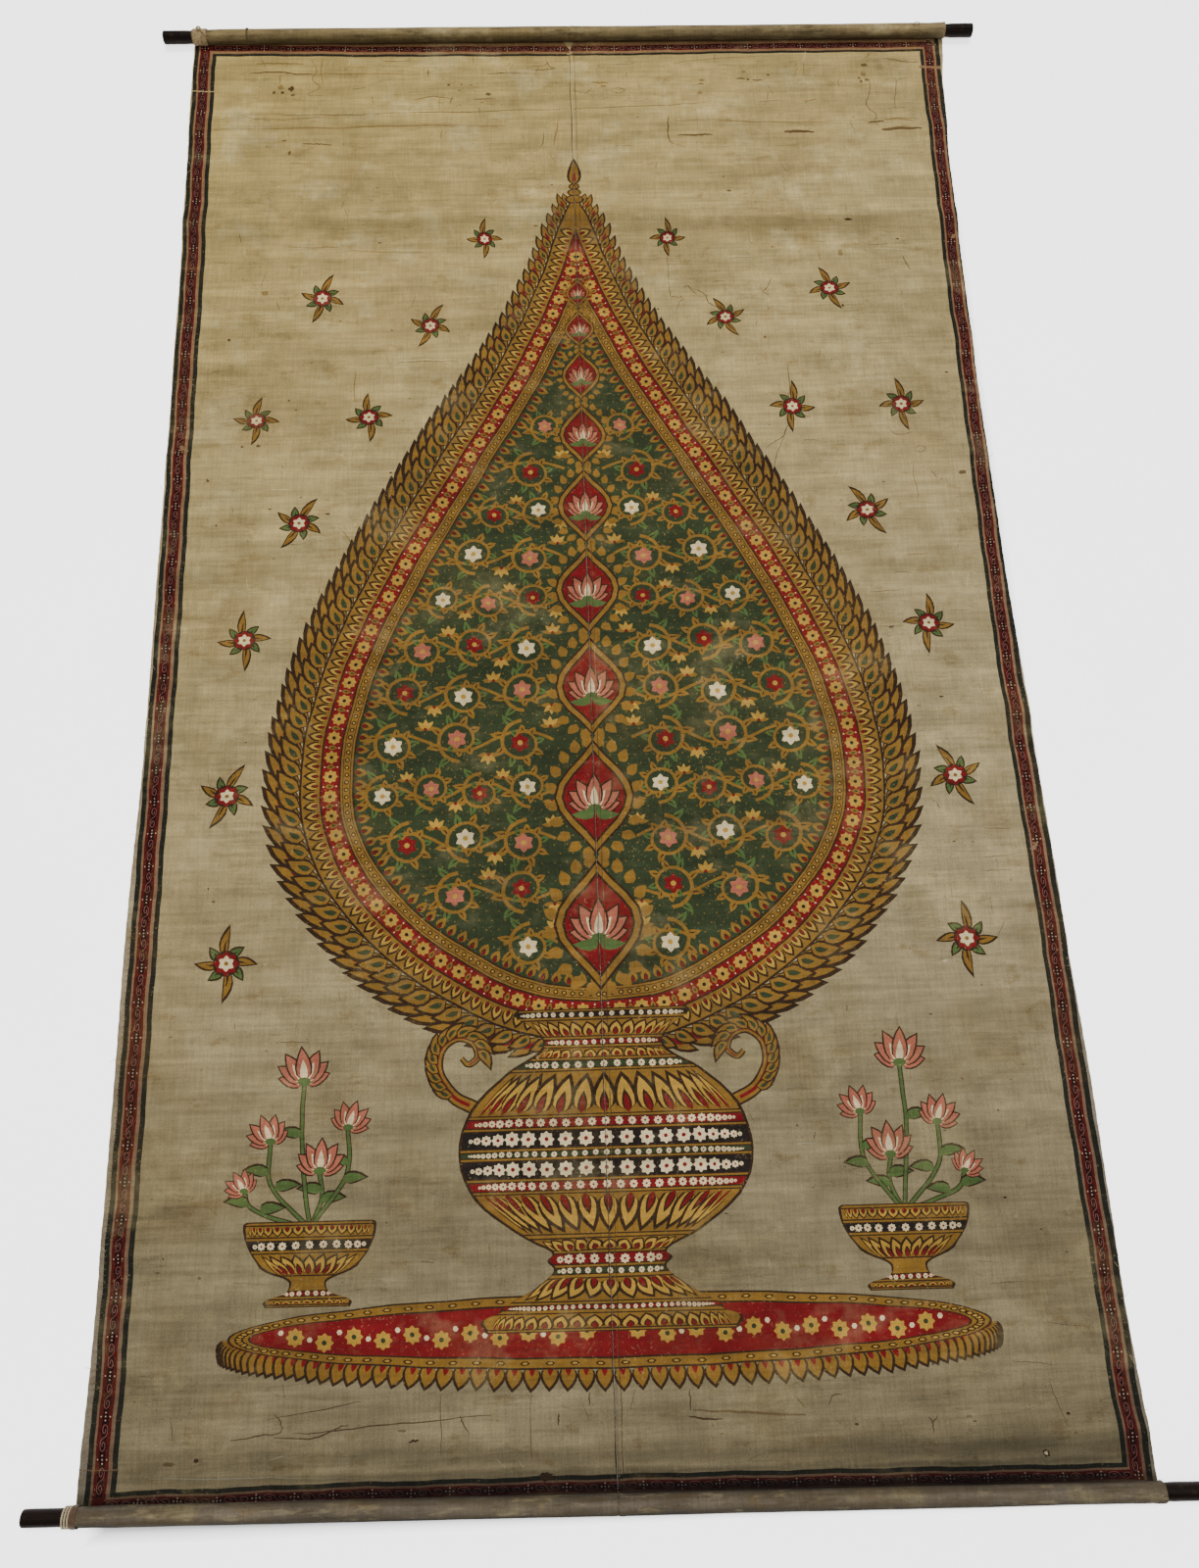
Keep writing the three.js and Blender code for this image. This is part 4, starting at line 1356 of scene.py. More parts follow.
def cloth_material():
    n = Nodes("painted_cotton")
    here = n.add("TexCoord").outputs["Object"]
    paint_node = n.add("Attribute", attribute_name="Paint")
    grime = n.add("Attribute", attribute_name="Grime").outputs["Fac"]
    gilt = paint_node.outputs["Alpha"]
    plain = n.ramp(gilt, 0.0, 0.08, 1.0, 0.25)

    flakes = n.ramp(n.noise(here, 210, 4, 0.7), 0.60, 0.68)
    rubbed = n.ramp(n.noise(here, 11, 3), 0.45, 0.68)
    worn = n.math("MULTIPLY", flakes, n.math("ADD", n.math("MULTIPLY", rubbed, 0.50), 0.08))
    colour = n.mix(worn, paint_node.outputs["Color"], rgba("ground"))
    shade = cotton_shade(n, here, plain)
    colour = n.scaled(colour, shade)

    # The painted tint of the light, by how far up and left a place lies.
    spot = n.add("SeparateXYZ", {0: here}).outputs
    up = n.math("SUBTRACT", spot["Y"], n.math("MULTIPLY", spot["X"], 0.5))
    tint = n.mix(n.ramp(up, *TINT_RANGE), TINT_LOW, TINT_HIGH)
    colour = n.mix(plain, colour, n.mix(1.0, colour, tint, "MULTIPLY"))

    for row in STAINING:
        stain = n.scaled(rgba_node(n, row["paint"]), shade)
        colour = n.mix(n.math("MULTIPLY", n.cover(here, row), plain), colour, stain)
    smear, blots, scuffs = [n.cover(here, row) for row in GRIME]
    colour = n.mix(n.math("MULTIPLY", grime, n.math("ADD", smear, blots)), colour, GRIME_COLOUR)
    colour = n.mix(n.math("MULTIPLY", grime, scuffs), colour, rgba("rub"))

    rough = n.ramp(n.noise(here, 90, 1), 0.3, 0.7, 0.84, 0.96)
    rough = n.math("SUBTRACT", rough, n.math("MULTIPLY", gilt, GILT_POLISH))
    n.shader.inputs["Sheen Weight"].default_value = COTTON_SHEEN
    n.shader.inputs["Specular IOR Level"].default_value = COTTON_SPECULAR
    return n.finish(colour, rough, cotton_weave(n, here))


# The wood's colours: its dark and pale grain, and where it is rubbed.
WOOD_DARK = (0.003, 0.002, 0.0015, 1)
WOOD_PALE = (0.011, 0.006, 0.004, 1)
WOOD_RUBBED = (0.045, 0.026, 0.014, 1)
WOOD_SPECULAR = 0.05


def wood_material():
    n = Nodes("dark_turned_wood")
    here = n.add("TexCoord").outputs["Object"]
    grain = n.noise(n.stretched(here, (6, 260, 260)), 1.0, 5, 0.6)
    pores = n.noise(n.stretched(here, (30, 900, 900)), 1.0, 2)
    rubbed = n.ramp(n.noise(here, 70, 4, 0.65), 0.56, 0.70)
    colour = n.mix(n.ramp(grain, 0.3, 0.7), WOOD_DARK, WOOD_PALE)
    colour = n.mix(n.math("MULTIPLY", rubbed, 0.4), colour, WOOD_RUBBED)
    rough = n.ramp(pores, 0.3, 0.7, 0.42, 0.64)
    height = n.math("ADD", n.math("MULTIPLY", grain, 0.6), n.math("MULTIPLY", pores, 0.4))
    normal = n.bump(height, 0.0004, 0.6)
    n.shader.inputs["Specular IOR Level"].default_value = WOOD_SPECULAR
    return n.finish(colour, rough, normal)


def fibre_material(name, dark, pale, scale):
    """Spun thread or tape: two tones, fibres and a little dirt."""
    n = Nodes(name)
    here = n.add("TexCoord").outputs["Object"]
    fibres = n.noise(n.stretched(here, (scale, scale * 3, scale * 3)), 1.0, 4, 0.65)
    dirt = n.ramp(n.noise(here, 120, 3), 0.45, 0.75)
    colour = n.mix(n.ramp(fibres, 0.3, 0.7), (*linear(dark), 1), (*linear(pale), 1))
    colour = n.mix(n.math("MULTIPLY", dirt, 0.4), colour, (*linear(np.asarray(dark) * 0.6), 1))
    rough = n.ramp(fibres, 0.3, 0.7, 0.80, 0.96)
    normal = n.bump(fibres, 0.0005, 0.7)
    n.shader.inputs["Sheen Weight"].default_value = 0.1
    return n.finish(colour, rough, normal)


# The floor is a white sheet that glows, but not where the banner covers it: the glow begins between
# these places, in metres from the middle.
FLOOR_GLOW = 1.9
GLOW_ASIDE = (0.78, 0.81)
GLOW_BEYOND = (1.435, 1.455)
FLOOR_DARK = (0.86, 0.87, 0.87, 1)
FLOOR_PALE = (0.91, 0.92, 0.915, 1)


def floor_material():
    n = Nodes("pale_floor")
    here = n.add("TexCoord").outputs["Object"]
    tone = n.ramp(n.noise(here, 2.4, 4), 0.3, 0.7)
    colour = n.mix(tone, FLOOR_DARK, FLOOR_PALE)
    rough = n.ramp(n.noise(here, 30, 3), 0.3, 0.7, 0.62, 0.78)
    normal = n.bump(n.noise(here, 140, 3), 0.0006, 0.2)
    n.shader.inputs["Emission Color"].default_value = (1, 1, 1, 1)
    spot = n.add("SeparateXYZ", {0: here}).outputs
    aside = n.ramp(n.math("ABSOLUTE", spot["X"]), *GLOW_ASIDE, 0.0, FLOOR_GLOW)
    beyond = n.ramp(n.math("ABSOLUTE", spot["Y"]), *GLOW_BEYOND, 0.0, FLOOR_GLOW)
    n.tree.links.new(n.math("MAXIMUM", aside, beyond), n.shader.inputs["Emission Strength"])
    return n.finish(colour, rough, normal)


# Meshes.
def new_object(name, verts, faces, material):
    mesh = bpy.data.meshes.new(name)
    mesh.from_pydata((np.asarray(verts) * MM).tolist(), [], faces)
    mesh.materials.append(material)
    mesh.shade_smooth()
    piece = bpy.data.objects.new(name, mesh)
    bpy.context.scene.collection.objects.link(piece)
    return piece


def declare(piece, slot, *nodes):
    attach(piece, BODY)
    if nodes:
        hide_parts(*nodes)
    return piece


# How finely the cloth is meshed: steps along its sides, round its wound ends and across its ends, and
# the spacing of loose points on its painted face, on its reverse and on the wound part of the reverse.
OUTLINE_STEP = 6
OUTLINE_WOUND_STEPS = 20
OUTLINE_END_STEPS = 60
WOUND_ROWS = 19
FACE_GRID = {"across": 15, "along": 14, "inset": 13}
BACK_GRID = {"across": 40, "along": 12, "inset": 14}
WOUND_GRID = {"across": 5, "inset": 3}
GUIDE_STEP = 16
CREASE_STEP = 11.0
CREASE_FLANKS = (-1.8, -0.9, 0, 0.9, 1.8)


def flat_part(v):
    return np.clip(v, BOTTOM_ROLL["y"], TOP_ROLL["y"])


def panel_outline(side):
    """The cut outline of a panel, with its two ends wound into the rolls."""
    top = TOP_ROLL["y"] + WOUND_LENGTH
    bottom = BOTTOM_ROLL["y"] - WOUND_LENGTH
    v = np.concatenate([
        np.linspace(bottom, BOTTOM_ROLL["y"], OUTLINE_WOUND_STEPS),
        np.arange(BOTTOM_ROLL["y"] + OUTLINE_STEP, TOP_ROLL["y"], OUTLINE_STEP),
        np.linspace(TOP_ROLL["y"], top, OUTLINE_WOUND_STEPS),
    ])
    outer = as_points(side_edge(side, flat_part(v)), v)
    seam_x = SEAM_X + side * SEAM_GAP / 2
    seam = as_points(seam_x, v[::2])
    low = as_points(np.linspace(seam_x, outer[0, 0], OUTLINE_END_STEPS)[1:-1], bottom)
    high = as_points(np.linspace(seam_x, outer[-1, 0], OUTLINE_END_STEPS)[1:-1], top)
    line = np.concatenate([low, outer, high[::-1], seam[::-1]])
    return line if side > 0 else line[::-1]


def grid(side, step_x, rows, inset):
    """Loose points in staggered rows from the seam to the side edge."""
    seam_x = SEAM_X + side * (SEAM_GAP / 2 + inset)
    points = []
    for i, v in enumerate(rows):
        edge = side_edge(side, np.array([flat_part(v)]))[0] - side * inset
        count = max(2, int(abs(edge - seam_x) / step_x))
        share = (np.arange(count + 1) + 0.5 * (i % 2)) / count
        points.append(as_points(seam_x + (edge - seam_x) * share[share <= 1], v))
    return np.concatenate(points)


def guide_lines(side):
    """Lines that the mesh keeps: the slopes of the hem and of the felled seam."""
    v = np.arange(BOTTOM_ROLL["y"] + 1, TOP_ROLL["y"], GUIDE_STEP)
    guides = []
    for inset in (DOUBLED["width"], DOUBLED["width"] + DOUBLED["ramp"]):
        guides.append(as_points(side_edge(side, v) - side * inset, v))
        if side > 0:
            guides.append(as_points(SEAM_X + inset, v))
    return guides


def crease_points(side):
    """Loose points along each crease, on its crest and both its flanks."""
    points = []
    for crease in CREASES:
        x = np.arange(crease["x0"], crease["x1"], CREASE_STEP)
        x = x[(x - SEAM_X) * side > 2]
        for away in CREASE_FLANKS:
            points.append(as_points(x, crease_line(crease, x) + away * crease["half"]))
    return np.concatenate(points)


def topmost(spots, shapes):
    """For each spot, the number of the last shape that it lies in, or -1."""
    order = np.argsort(spots[:, 1])
    x, v = spots[order].T
    top = np.full(len(spots), -1)
    for number, shape in enumerate(shapes):
        after = np.roll(shape, -1, axis=0)
        starts = np.searchsorted(v, np.minimum(shape[:, 1], after[:, 1]))
        ends = np.searchsorted(v, np.maximum(shape[:, 1], after[:, 1]))
        low, high = starts.min(), ends.max()
        turns = np.zeros(high - low, dtype=np.int32)
        for (x0, v0), (x1, v1), start, end in zip(shape, after, starts, ends):
            if start < end:
                crossing = x0 + (v[start:end] - v0) * ((x1 - x0) / (v1 - v0))
                turns[start - low:end - low] += np.where(x[start:end] < crossing, 1 if v1 > v0 else -1, 0)
        top[low:high][turns != 0] = number
    result = np.empty_like(top)
    result[order] = top
    return result


def linked(crease_shade_lines, closed):
    """The points of some lines, and the edges along each."""
    points, edges = [], []
    for line in crease_shade_lines:
        first, count = len(points), len(line)
        edges.extend((first + i, first + (i + 1) % count) for i in range(count if closed else count - 1))
        points.extend(line.tolist())
    return points, edges


def triangulate(outline, shapes, points, edges):
    """Triangles inside the outline that keep the edges, and for each the number of the topmost shape
    on it (0 for none)."""
    flat = [Vector(point) for point in points]
    verts, _, tris, sources, _, _ = delaunay_2d_cdt(flat, edges, [], 0, MERGE)
    places = np.array([tuple(vert) for vert in verts])
    tris = np.array([tri for tri in tris if len(tri) == 3])
    middles = places[tris].mean(axis=1)
    inside = topmost(middles, [outline]) == 0
    tris = tris[inside]
    tops = topmost(middles[inside], shapes) + 1
    used, numbers = np.unique(tris, return_inverse=True)
    triangles = [tuple(tri) for tri in numbers.reshape(-1, 3).tolist()]
    return places[used], triangles, tops, [sources[index] for index in used]


def seen_lines(outline, shapes, colours):
    """The lines where one colour meets another, and the rim, without what lies under later paint."""
    places, tris, tops, _ = triangulate(outline, shapes, *linked([outline, *shapes], True))
    names = list(PAINTS)
    kinds = np.array([names.index("hem")] + [names.index(colour) for colour in colours])[tops]
    ends = np.sort(np.array(tris)[:, [0, 1, 1, 2, 2, 0]].reshape(-1, 2), axis=1)
    edges, owners = np.unique(ends, axis=0, return_inverse=True)
    owners = owners.ravel()
    lowest = np.full(len(edges), len(names))
    highest = np.full(len(edges), -1)
    np.minimum.at(lowest, owners, np.repeat(kinds, 3))
    np.maximum.at(highest, owners, np.repeat(kinds, 3))
    on_rim = np.bincount(owners) == 1
    rim = set(edges[on_rim].ravel().tolist())
    kept = without_straights(places, edges[(lowest != highest) | on_rim].tolist(), rim)
    used, numbers = np.unique(kept, return_inverse=True)
    return places[used], numbers.reshape(-1, 2)


# A point on a line is left out where it lies this near to the straight way between its neighbours,
# as long as they are not too far apart.
STRAIGHT_WITHIN = 0.04
LONGEST_STRAIGHT = 14


def without_straights(places, edges, rim):
    beside = [set() for _ in places]
    for a, b in edges:
        beside[a].add(b)
        beside[b].add(a)
    for here, near in enumerate(beside):
        if here in rim or len(near) != 2:
            continue
        a, b = sorted(near)
        chord = places[b] - places[a]
        reach = places[here] - places[a]
        length = math.hypot(*chord)
        away = abs(chord[0] * reach[1] - chord[1] * reach[0]) / length
        if length < LONGEST_STRAIGHT and away < STRAIGHT_WITHIN and b not in beside[a]:
            beside[a].symmetric_difference_update((here, b))
            beside[b].symmetric_difference_update((here, a))
            near.clear()
    return np.array([(a, b) for a, near in enumerate(beside) for b in sorted(near) if a < b])


def rim_loop(triangles):
    """The points round the outside of some triangles, in order."""
    sides = {(tri[i], tri[(i + 1) % 3]) for tri in triangles for i in range(3)}
    after = {a: b for a, b in sides if (b, a) not in sides}
    first = next(iter(after))
    loop = [first]
    while after[loop[-1]] != first:
        loop.append(after[loop[-1]])
    return loop


def cloth_rows(step):
    """Where the rows of loose points lie along the cloth, a step apart where it is flat."""
    wound = np.linspace(0, WOUND_LENGTH, WOUND_ROWS)[1:-1]
    flat = np.arange(BOTTOM_ROLL["y"] + step / 2, TOP_ROLL["y"], step)
    return np.concatenate([BOTTOM_ROLL["y"] - wound[::-1], flat, TOP_ROLL["y"] + wound])


# The square on which the finish is baked, in shares of it: where the lower and the upper half of each
# face start across it, how wide each is, how tall the halves are, and the strips for the wound ends.
BAKE_FACE = {"lower": 0.0, "upper": 0.45, "wide": 0.445}
BAKE_REVERSE = {"lower": 0.90, "upper": 0.95, "wide": 0.045}
BAKE_TALL = 0.93
BAKE_WOUND = {"top": 0.97, "bottom": 0.94, "tall": 0.028}
BAKE_MARGIN = {"across": 8, "along": 2}


def bake_places(x, v, face, upper, side):
    """Where a corner lies in the square on which the finish is baked: the two halves of the painted
    face side by side, the reverse in two narrow strips, and the wound ends along the top."""
    seam_to_edge = np.clip((x - SEAM_X) * side / (CLOTH_WIDTH / 2 + BAKE_MARGIN["across"]), 0, 1)
    length = TOP_ROLL["y"] + WOUND_LENGTH + BAKE_MARGIN["along"]
    half = np.where(upper, v / length, (v + length) / length)
    columns = [np.where(upper, area["upper"], area["lower"]) + area["wide"] * seam_to_edge
               for area in (BAKE_REVERSE, BAKE_FACE)]
    u = np.where(face == 1, columns[1], columns[0])
    top, bottom = v > TOP_ROLL["y"], v < BOTTOM_ROLL["y"]
    wound = (face == 0) & (top | bottom)
    past = np.where(top, v - TOP_ROLL["y"], BOTTOM_ROLL["y"] - v) / WOUND_LENGTH
    strip = np.where(top, BAKE_WOUND["top"], BAKE_WOUND["bottom"])
    strip = strip + BAKE_WOUND["tall"] * np.clip(past, 0, 1)
    return as_points(np.where(wound, seam_to_edge, u), np.where(wound, strip, BAKE_TALL * half))


# Shade on the reverse where it lies flat, and on each roll: all round, more on the roll's inner side,
# and more on its outer side. The angles are where the inner and the outer shade begin.
BACK_SHADE = 0.1
TOP_SHADE = {"round": -0.06, "inner": 0.50, "outer": 0.0}
BOTTOM_SHADE = {"round": 0.50, "inner": 0.22, "outer": 0.42}
INNER_FROM = 3.3
OUTER_TO = 2.95
# Grime fades out over this length where the cloth leaves its roll.
GRIME_EDGE = 3


def back_shade(x, v):
    """Shade on the reverse: the wound cloth is darkest along its inner side."""
    past = np.maximum(v - TOP_ROLL["y"], BOTTOM_ROLL["y"] - v)
    angle = np.clip(past, 0, None) / WIND_RADIUS
    inner = smoothstep((angle - INNER_FROM) / 1.5)
    outer = smoothstep((OUTER_TO - angle) / 0.7)
    streak = 0.07 * np.sin(angle * 7 + np.sin(x / 120))
    top, bottom = [
        row["round"] + row["inner"] * inner + row["outer"] * outer for row in (TOP_SHADE, BOTTOM_SHADE)
    ]
    return np.where(past > 0, np.where(v > 0, top, bottom) + streak, BACK_SHADE)


def painted_face(side, near):
    """The painted face of a panel: its points, its triangles, and the topmost shape on each."""
    outline = panel_outline(side)
    shapes = [points for points, _ in near]
    seen, seen_edges = seen_lines(outline, shapes, [colour for _, colour in near])
    guides, guide_edges = linked(guide_lines(side), False)
    rows = cloth_rows(FACE_GRID["along"])
    loose = [grid(side, FACE_GRID["across"], rows, FACE_GRID["inset"]), crease_points(side)]
    points = [*seen.tolist(), *guides, *np.concatenate(loose).tolist()]
    edges = [*seen_edges.tolist(), *[(a + len(seen), b + len(seen)) for a, b in guide_edges]]
    face_xv, face_tris, tops, _ = triangulate(outline, shapes, points, edges)
    return face_xv, face_tris, tops


def plain_back(side, rim):
    """The reverse of a panel within its rim: its points, its triangles, and where the rim's points are."""
    rows = cloth_rows(BACK_GRID["along"])
    on_flat = (rows > BOTTOM_ROLL["y"]) & (rows < TOP_ROLL["y"])
    flat = grid(side, BACK_GRID["across"], rows[on_flat], BACK_GRID["inset"])
    wound = grid(side, WOUND_GRID["across"], rows[~on_flat], WOUND_GRID["inset"])
    rim_points, rim_edges = linked([rim], True)
    points = [*rim_points, *flat.tolist(), *wound.tolist()]
    back_xv, back_tris, _, sources = triangulate(rim, [], points, rim_edges)
    rim_back = {}
    for index, group in enumerate(sources):
        rim_back.update((source, index) for source in group if source < len(rim))
    return back_xv, back_tris, rim_back


def cloth_panel(name, side, material):
    """One width of cloth: its painted face, its reverse and the edge between them, as one closed sheet."""
    near = [(points, colour) for points, colour in SHAPES if np.max((points[:, 0] - SEAM_X) * side) > -1]
    face_xv, face_tris, tops = painted_face(side, near)
    loop = rim_loop(face_tris)
    back_xv, back_tris, rim_back = plain_back(side, face_xv[loop])

    offset = len(face_xv)
    verts = np.concatenate([place(*face_xv.T, True), place(*back_xv.T, False)])
    normals = np.concatenate([cloth_normals(*face_xv.T, True), cloth_normals(*back_xv.T, False)])
    faces = list(face_tris)
    faces += [(a + offset, c + offset, b + offset) for a, b, c in back_tris]
    for i, here in enumerate(loop):
        j = (i + 1) % len(loop)
        faces.append((offset + rim_back[i], offset + rim_back[j], loop[j], here))
    piece = new_object(name, verts, faces, material)
    mesh = piece.data

    colours = [(*linear(rgb), gloss) for rgb, gloss in (PAINTS[colour] for _, colour in near)]
    hem = (*linear(PAINTS["hem"][0]), 0.0)
    reverse = (*linear(PAINTS["reverse"][0]), 0.0)
    per_face = [hem if top == 0 else colours[top - 1] for top in tops]
    per_face += [reverse] * len(back_tris) + [hem] * len(loop)
    totals = np.array([len(face) for face in faces])
    corner_colours = np.repeat(np.array(per_face), totals, axis=0)
    paints = mesh.color_attributes.new("Paint", "FLOAT_COLOR", "CORNER")
    paints.data.foreach_set("color", corner_colours.ravel())

    aged = between(AGEING, "depth", face_xv[:, 1]) + patches(SOILING, *face_xv.T)
    soil = np.concatenate([aged, np.zeros(len(back_xv))])
    shade = np.concatenate([patches(SHADING, *face_xv.T), back_shade(*back_xv.T)])
    grime = np.concatenate([np.zeros(len(face_xv)), smoothstep(1 - to_roll(back_xv[:, 1]) / GRIME_EDGE)])
    for channel, values in (("Soil", soil), ("Shade", shade), ("Grime", grime)):
        mesh.attributes.new(channel, "FLOAT", "POINT").data.foreach_set("value", values)

    xv = np.concatenate([face_xv, back_xv])
    corner_verts = np.empty(len(mesh.loops), dtype=np.int32)
    mesh.loops.foreach_get("vertex_index", corner_verts)
    face_kind = np.array([1] * len(face_tris) + [0] * (len(back_tris) + len(loop)))
    face_mid = np.add.reduceat(xv[corner_verts, 1], np.concatenate([[0], np.cumsum(totals)[:-1]])) / totals
    painted, upper = np.repeat(face_kind, totals), np.repeat(face_mid > 0, totals)
    uv = bake_places(*xv[corner_verts].T, painted, upper, side)
    mesh.uv_layers.new(name="OFBake").data.foreach_set("uv", uv.ravel())
    mesh.normals_split_custom_set_from_vertices(normals.tolist())
    return piece


def ring_faces(rings, sides, first=0):
    """The faces between rings of points, each ring with the next."""
    faces = []
    for i in range(rings - 1):
        for j in range(sides):
            a = first + i * sides + j
            b = first + i * sides + (j + 1) % sides
            faces.append((a, b, b + sides, a + sides))
    return faces


ROD_SIDES = 48
ROD_MIDDLE_RINGS = 40
ROD_MIDDLE_START = 130
# Rings near a rod's end: how far in each lies, and the share of the radius that the first ones have.
ROD_END_RINGS = np.array([0, 0.3, 0.9, 1.8, 3.2, 6, 10, 15, 21, 28, 36, 45, 55, 66, 80, 100])
ROD_EASE = (0.89, 0.945, 0.978, 0.994)


def turned_rod(name, rod, material):
    """A round rod with eased ends, a little uneven as a hand-turned one is."""
    half = rod["length"] / 2
    middle = half - ROD_MIDDLE_START
    eased = np.ones(len(ROD_END_RINGS))
    eased[:len(ROD_EASE)] = ROD_EASE
    along = np.concatenate([
        ROD_END_RINGS - half, np.linspace(-middle, middle, ROD_MIDDLE_RINGS), half - ROD_END_RINGS[::-1],
    ])
    radius = ROD_RADIUS * np.concatenate([eased, np.ones(ROD_MIDDLE_RINGS), eased[::-1]])
    bare = smoothstep((np.abs(along) - CLOTH_WIDTH / 2 - 4) / 8)
    radius *= 1 + bare * np.where(along > 0, rod["swell"][1], rod["swell"][0])
    angle = circling(ROD_SIDES)
    verts = [(-half, 0, 0)]
    for x, r in zip(along, radius):
        uneven = r + 0.10 * np.sin(x / 17 + 2 * angle) + 0.06 * np.sin(x / 5.3 + 3 * angle)
        verts.extend(as_points(x, uneven * np.sin(angle), -uneven * np.cos(angle)).tolist())
    verts.append((half, 0, 0))
    faces = [face[::-1] for face in ring_faces(len(along), ROD_SIDES, 1)]
    last = 1 + (len(along) - 1) * ROD_SIDES
    for j in range(ROD_SIDES):
        k = (j + 1) % ROD_SIDES
        faces.append((0, 1 + j, 1 + k))
        faces.append((len(verts) - 1, last + k, last + j))
    roll = rod["roll"]
    lie = Matrix.Translation((0, roll["y"], AXIS_Z)) @ Matrix.Rotation(math.atan(roll["slant"]), 4, "Z")
    return new_object(name, [lie @ Vector(point) for point in verts], faces, material)


# A direction that no cord here runs along.
ASKEW = (0.3, 0.5, 0.81)


def tube(points, radius, sides):
    """A round cord along a line, closed at both ends."""
    points = np.asarray(points, float)
    tangent = headings(points)
    side = np.cross(tangent[0], ASKEW)
    angle = circling(sides)
    verts = []
    for point, ahead in zip(points, tangent):
        side = unit(side - ahead * np.dot(side, ahead))
        over = np.cross(ahead, side)
        verts.extend(point + radius * (np.cos(a) * side + np.sin(a) * over) for a in angle)
    faces = ring_faces(len(points), sides)
    faces.append(tuple(range(sides))[::-1])
    faces.append(tuple(range((len(points) - 1) * sides, len(points) * sides)))
    return np.array(verts), faces


# A strand's own radius, and how far it lies from the cord's middle, as shares of the cord's radius.
STRAND = {"radius": 0.56, "away": 0.5, "sides": 7}


def twisted(points, radius, strands, pitch):
    """The strands of a laid cord along a line."""
    points = np.asarray(points, float)
    tangent = headings(points)
    run = np.concatenate([[0], np.cumsum(np.linalg.norm(np.diff(points, axis=0), axis=1))])
    out = unit(np.cross(tangent, (1.0, 0, 0)))
    over = np.cross(tangent, out)
    parts = []
    for k in range(strands):
        angle = 2 * np.pi * (run / pitch + k / strands)
        away = out * np.cos(angle)[:, None] + over * np.sin(angle)[:, None]
        line = points + STRAND["away"] * radius * away
        parts.append(tube(line, STRAND["radius"] * radius, STRAND["sides"]))
    return parts


def joined(name, parts, material):
    verts, faces, offset = [], [], 0
    for part_verts, part_faces in parts:
        verts.append(part_verts)
        faces.extend(tuple(index + offset for index in face) for face in part_faces)
        offset += len(part_verts)
    return new_object(name, np.concatenate(verts), faces, material)


def round_roll(roll, x, radius, angle):
    """Points round a roll's axis, at angles counted from its underside by its outer side."""
    y = roll["y"] + roll["slant"] * x + roll["outward"] * radius * np.sin(angle)
    return as_points(x, y, AXIS_Z - radius * np.cos(angle))


def on_roll(roll, x, radius, angle):
    """One point on a roll."""
    return round_roll(roll, x, radius, np.array([angle]))[0]


# The angles at which a tape or thread starts and ends round a roll, and where a knot sits on it.
SEWN_ARC = (math.radians(5), math.radians(318))
RING_START = math.radians(28)
KNOT_ANGLE = 2.9
TAPE_STEPS = 90
TAPE_ACROSS = 10


def wound_tape(roll, x, width, radius, thick, turns):
    """Flat tape round a roll, its turns side by side and each a little on the next."""
    across = TAPE_ACROSS * turns
    share = np.linspace(0, 1, across + 1)
    verts = []
    for a in np.linspace(*SEWN_ARC, TAPE_STEPS):
        turn = (share * turns + 0.5 * a / (2 * np.pi)) % 1.0
        crown = 0.45 + 0.55 * np.sin(np.pi * turn) ** 0.6 + 0.15 * np.sin(9 * a + 20 * share)
        outer = round_roll(roll, x + width * share, radius + thick * crown, a)
        inner = round_roll(roll, x + width * share[::-1], radius, a)
        verts.append(np.concatenate([outer, inner]))
    ring = 2 * (across + 1)
    turned = roll["outward"] > 0
    faces = [face[::-1] if turned else face for face in ring_faces(TAPE_STEPS, ring)]
    for i, flipped in ((0, not turned), (TAPE_STEPS - 1, turned)):
        for j in range(across):
            quad = (i * ring + j, i * ring + j + 1, i * ring + ring - 2 - j, i * ring + ring - 1 - j)
            faces.append(quad[::-1] if flipped else quad)
    return np.concatenate(verts), faces


KNOT_LOOPS = table("turn tilt squash", [(0.2, 0.5, 0.8), (1.3, -0.4, 0.7), (2.3, 0.9, 0.6)])


def knot_loops(middle, size, radius):
    """A granny knot's visible loops as short cords."""
    a = np.linspace(0, 2 * np.pi * 0.92, 18)
    loops = []
    for row in KNOT_LOOPS:
        ring = as_points(size * np.cos(a), size * row["squash"] * np.sin(a), 0.3 * size * np.sin(2 * a))
        spin = np.array(Matrix.Rotation(row["turn"], 3, "Z") @ Matrix.Rotation(row["tilt"], 3, "X"))
        loops.append(tube(ring @ spin.T + middle, radius, 7))
    return loops


# The ties, placed as in the solids. Each lies on the doubled hem, on the roll or on the bare rod.
ON_HEM = ROLL_RADIUS + 0.95
OCHRE_WRAP = {"x": -822, "width": 29, "thick": 1.2, "turns": 4}
OCHRE_KNOT = {"x": -809.0, "lift": 2.6, "size": 5.0, "cord": 1.3}
OCHRE_TAIL = [(2, -2, 1), (8, -7, 1.5), (12, -12, -1), (15, -16, -6)]
OCHRE_TAIL_RADIUS = 1.0
RING_THREADS = {"x": (-706.2, -704.0), "lift": 1.9, "sway": 0.5, "steps": 70, "radius": 1.0, "pitch": 5}
RING_KNOT = {"x": -705.0, "lift": 2.8, "size": 1.9, "cord": 0.6}
LOOP_ARCH = table("x lean rise", [
    (756.8, 0, 0), (753.6, 1.0, 3.4), (760, 2, 6.6), (766.4, 1.0, 3.6), (763.2, 0, 0),
])
LOOP_THREAD = {"lift": 0.4, "radius": 1.0, "pitch": 3.6}
BROWN_BAND = {"x": -823.5, "width": 9, "thick": 1.0, "turns": 1}
ROD_CORD = {"x": -836.4, "turns": 3, "pitch": 4.15, "steps": 60, "lift": 1.75, "radius": 1.5, "lay": 6.5}
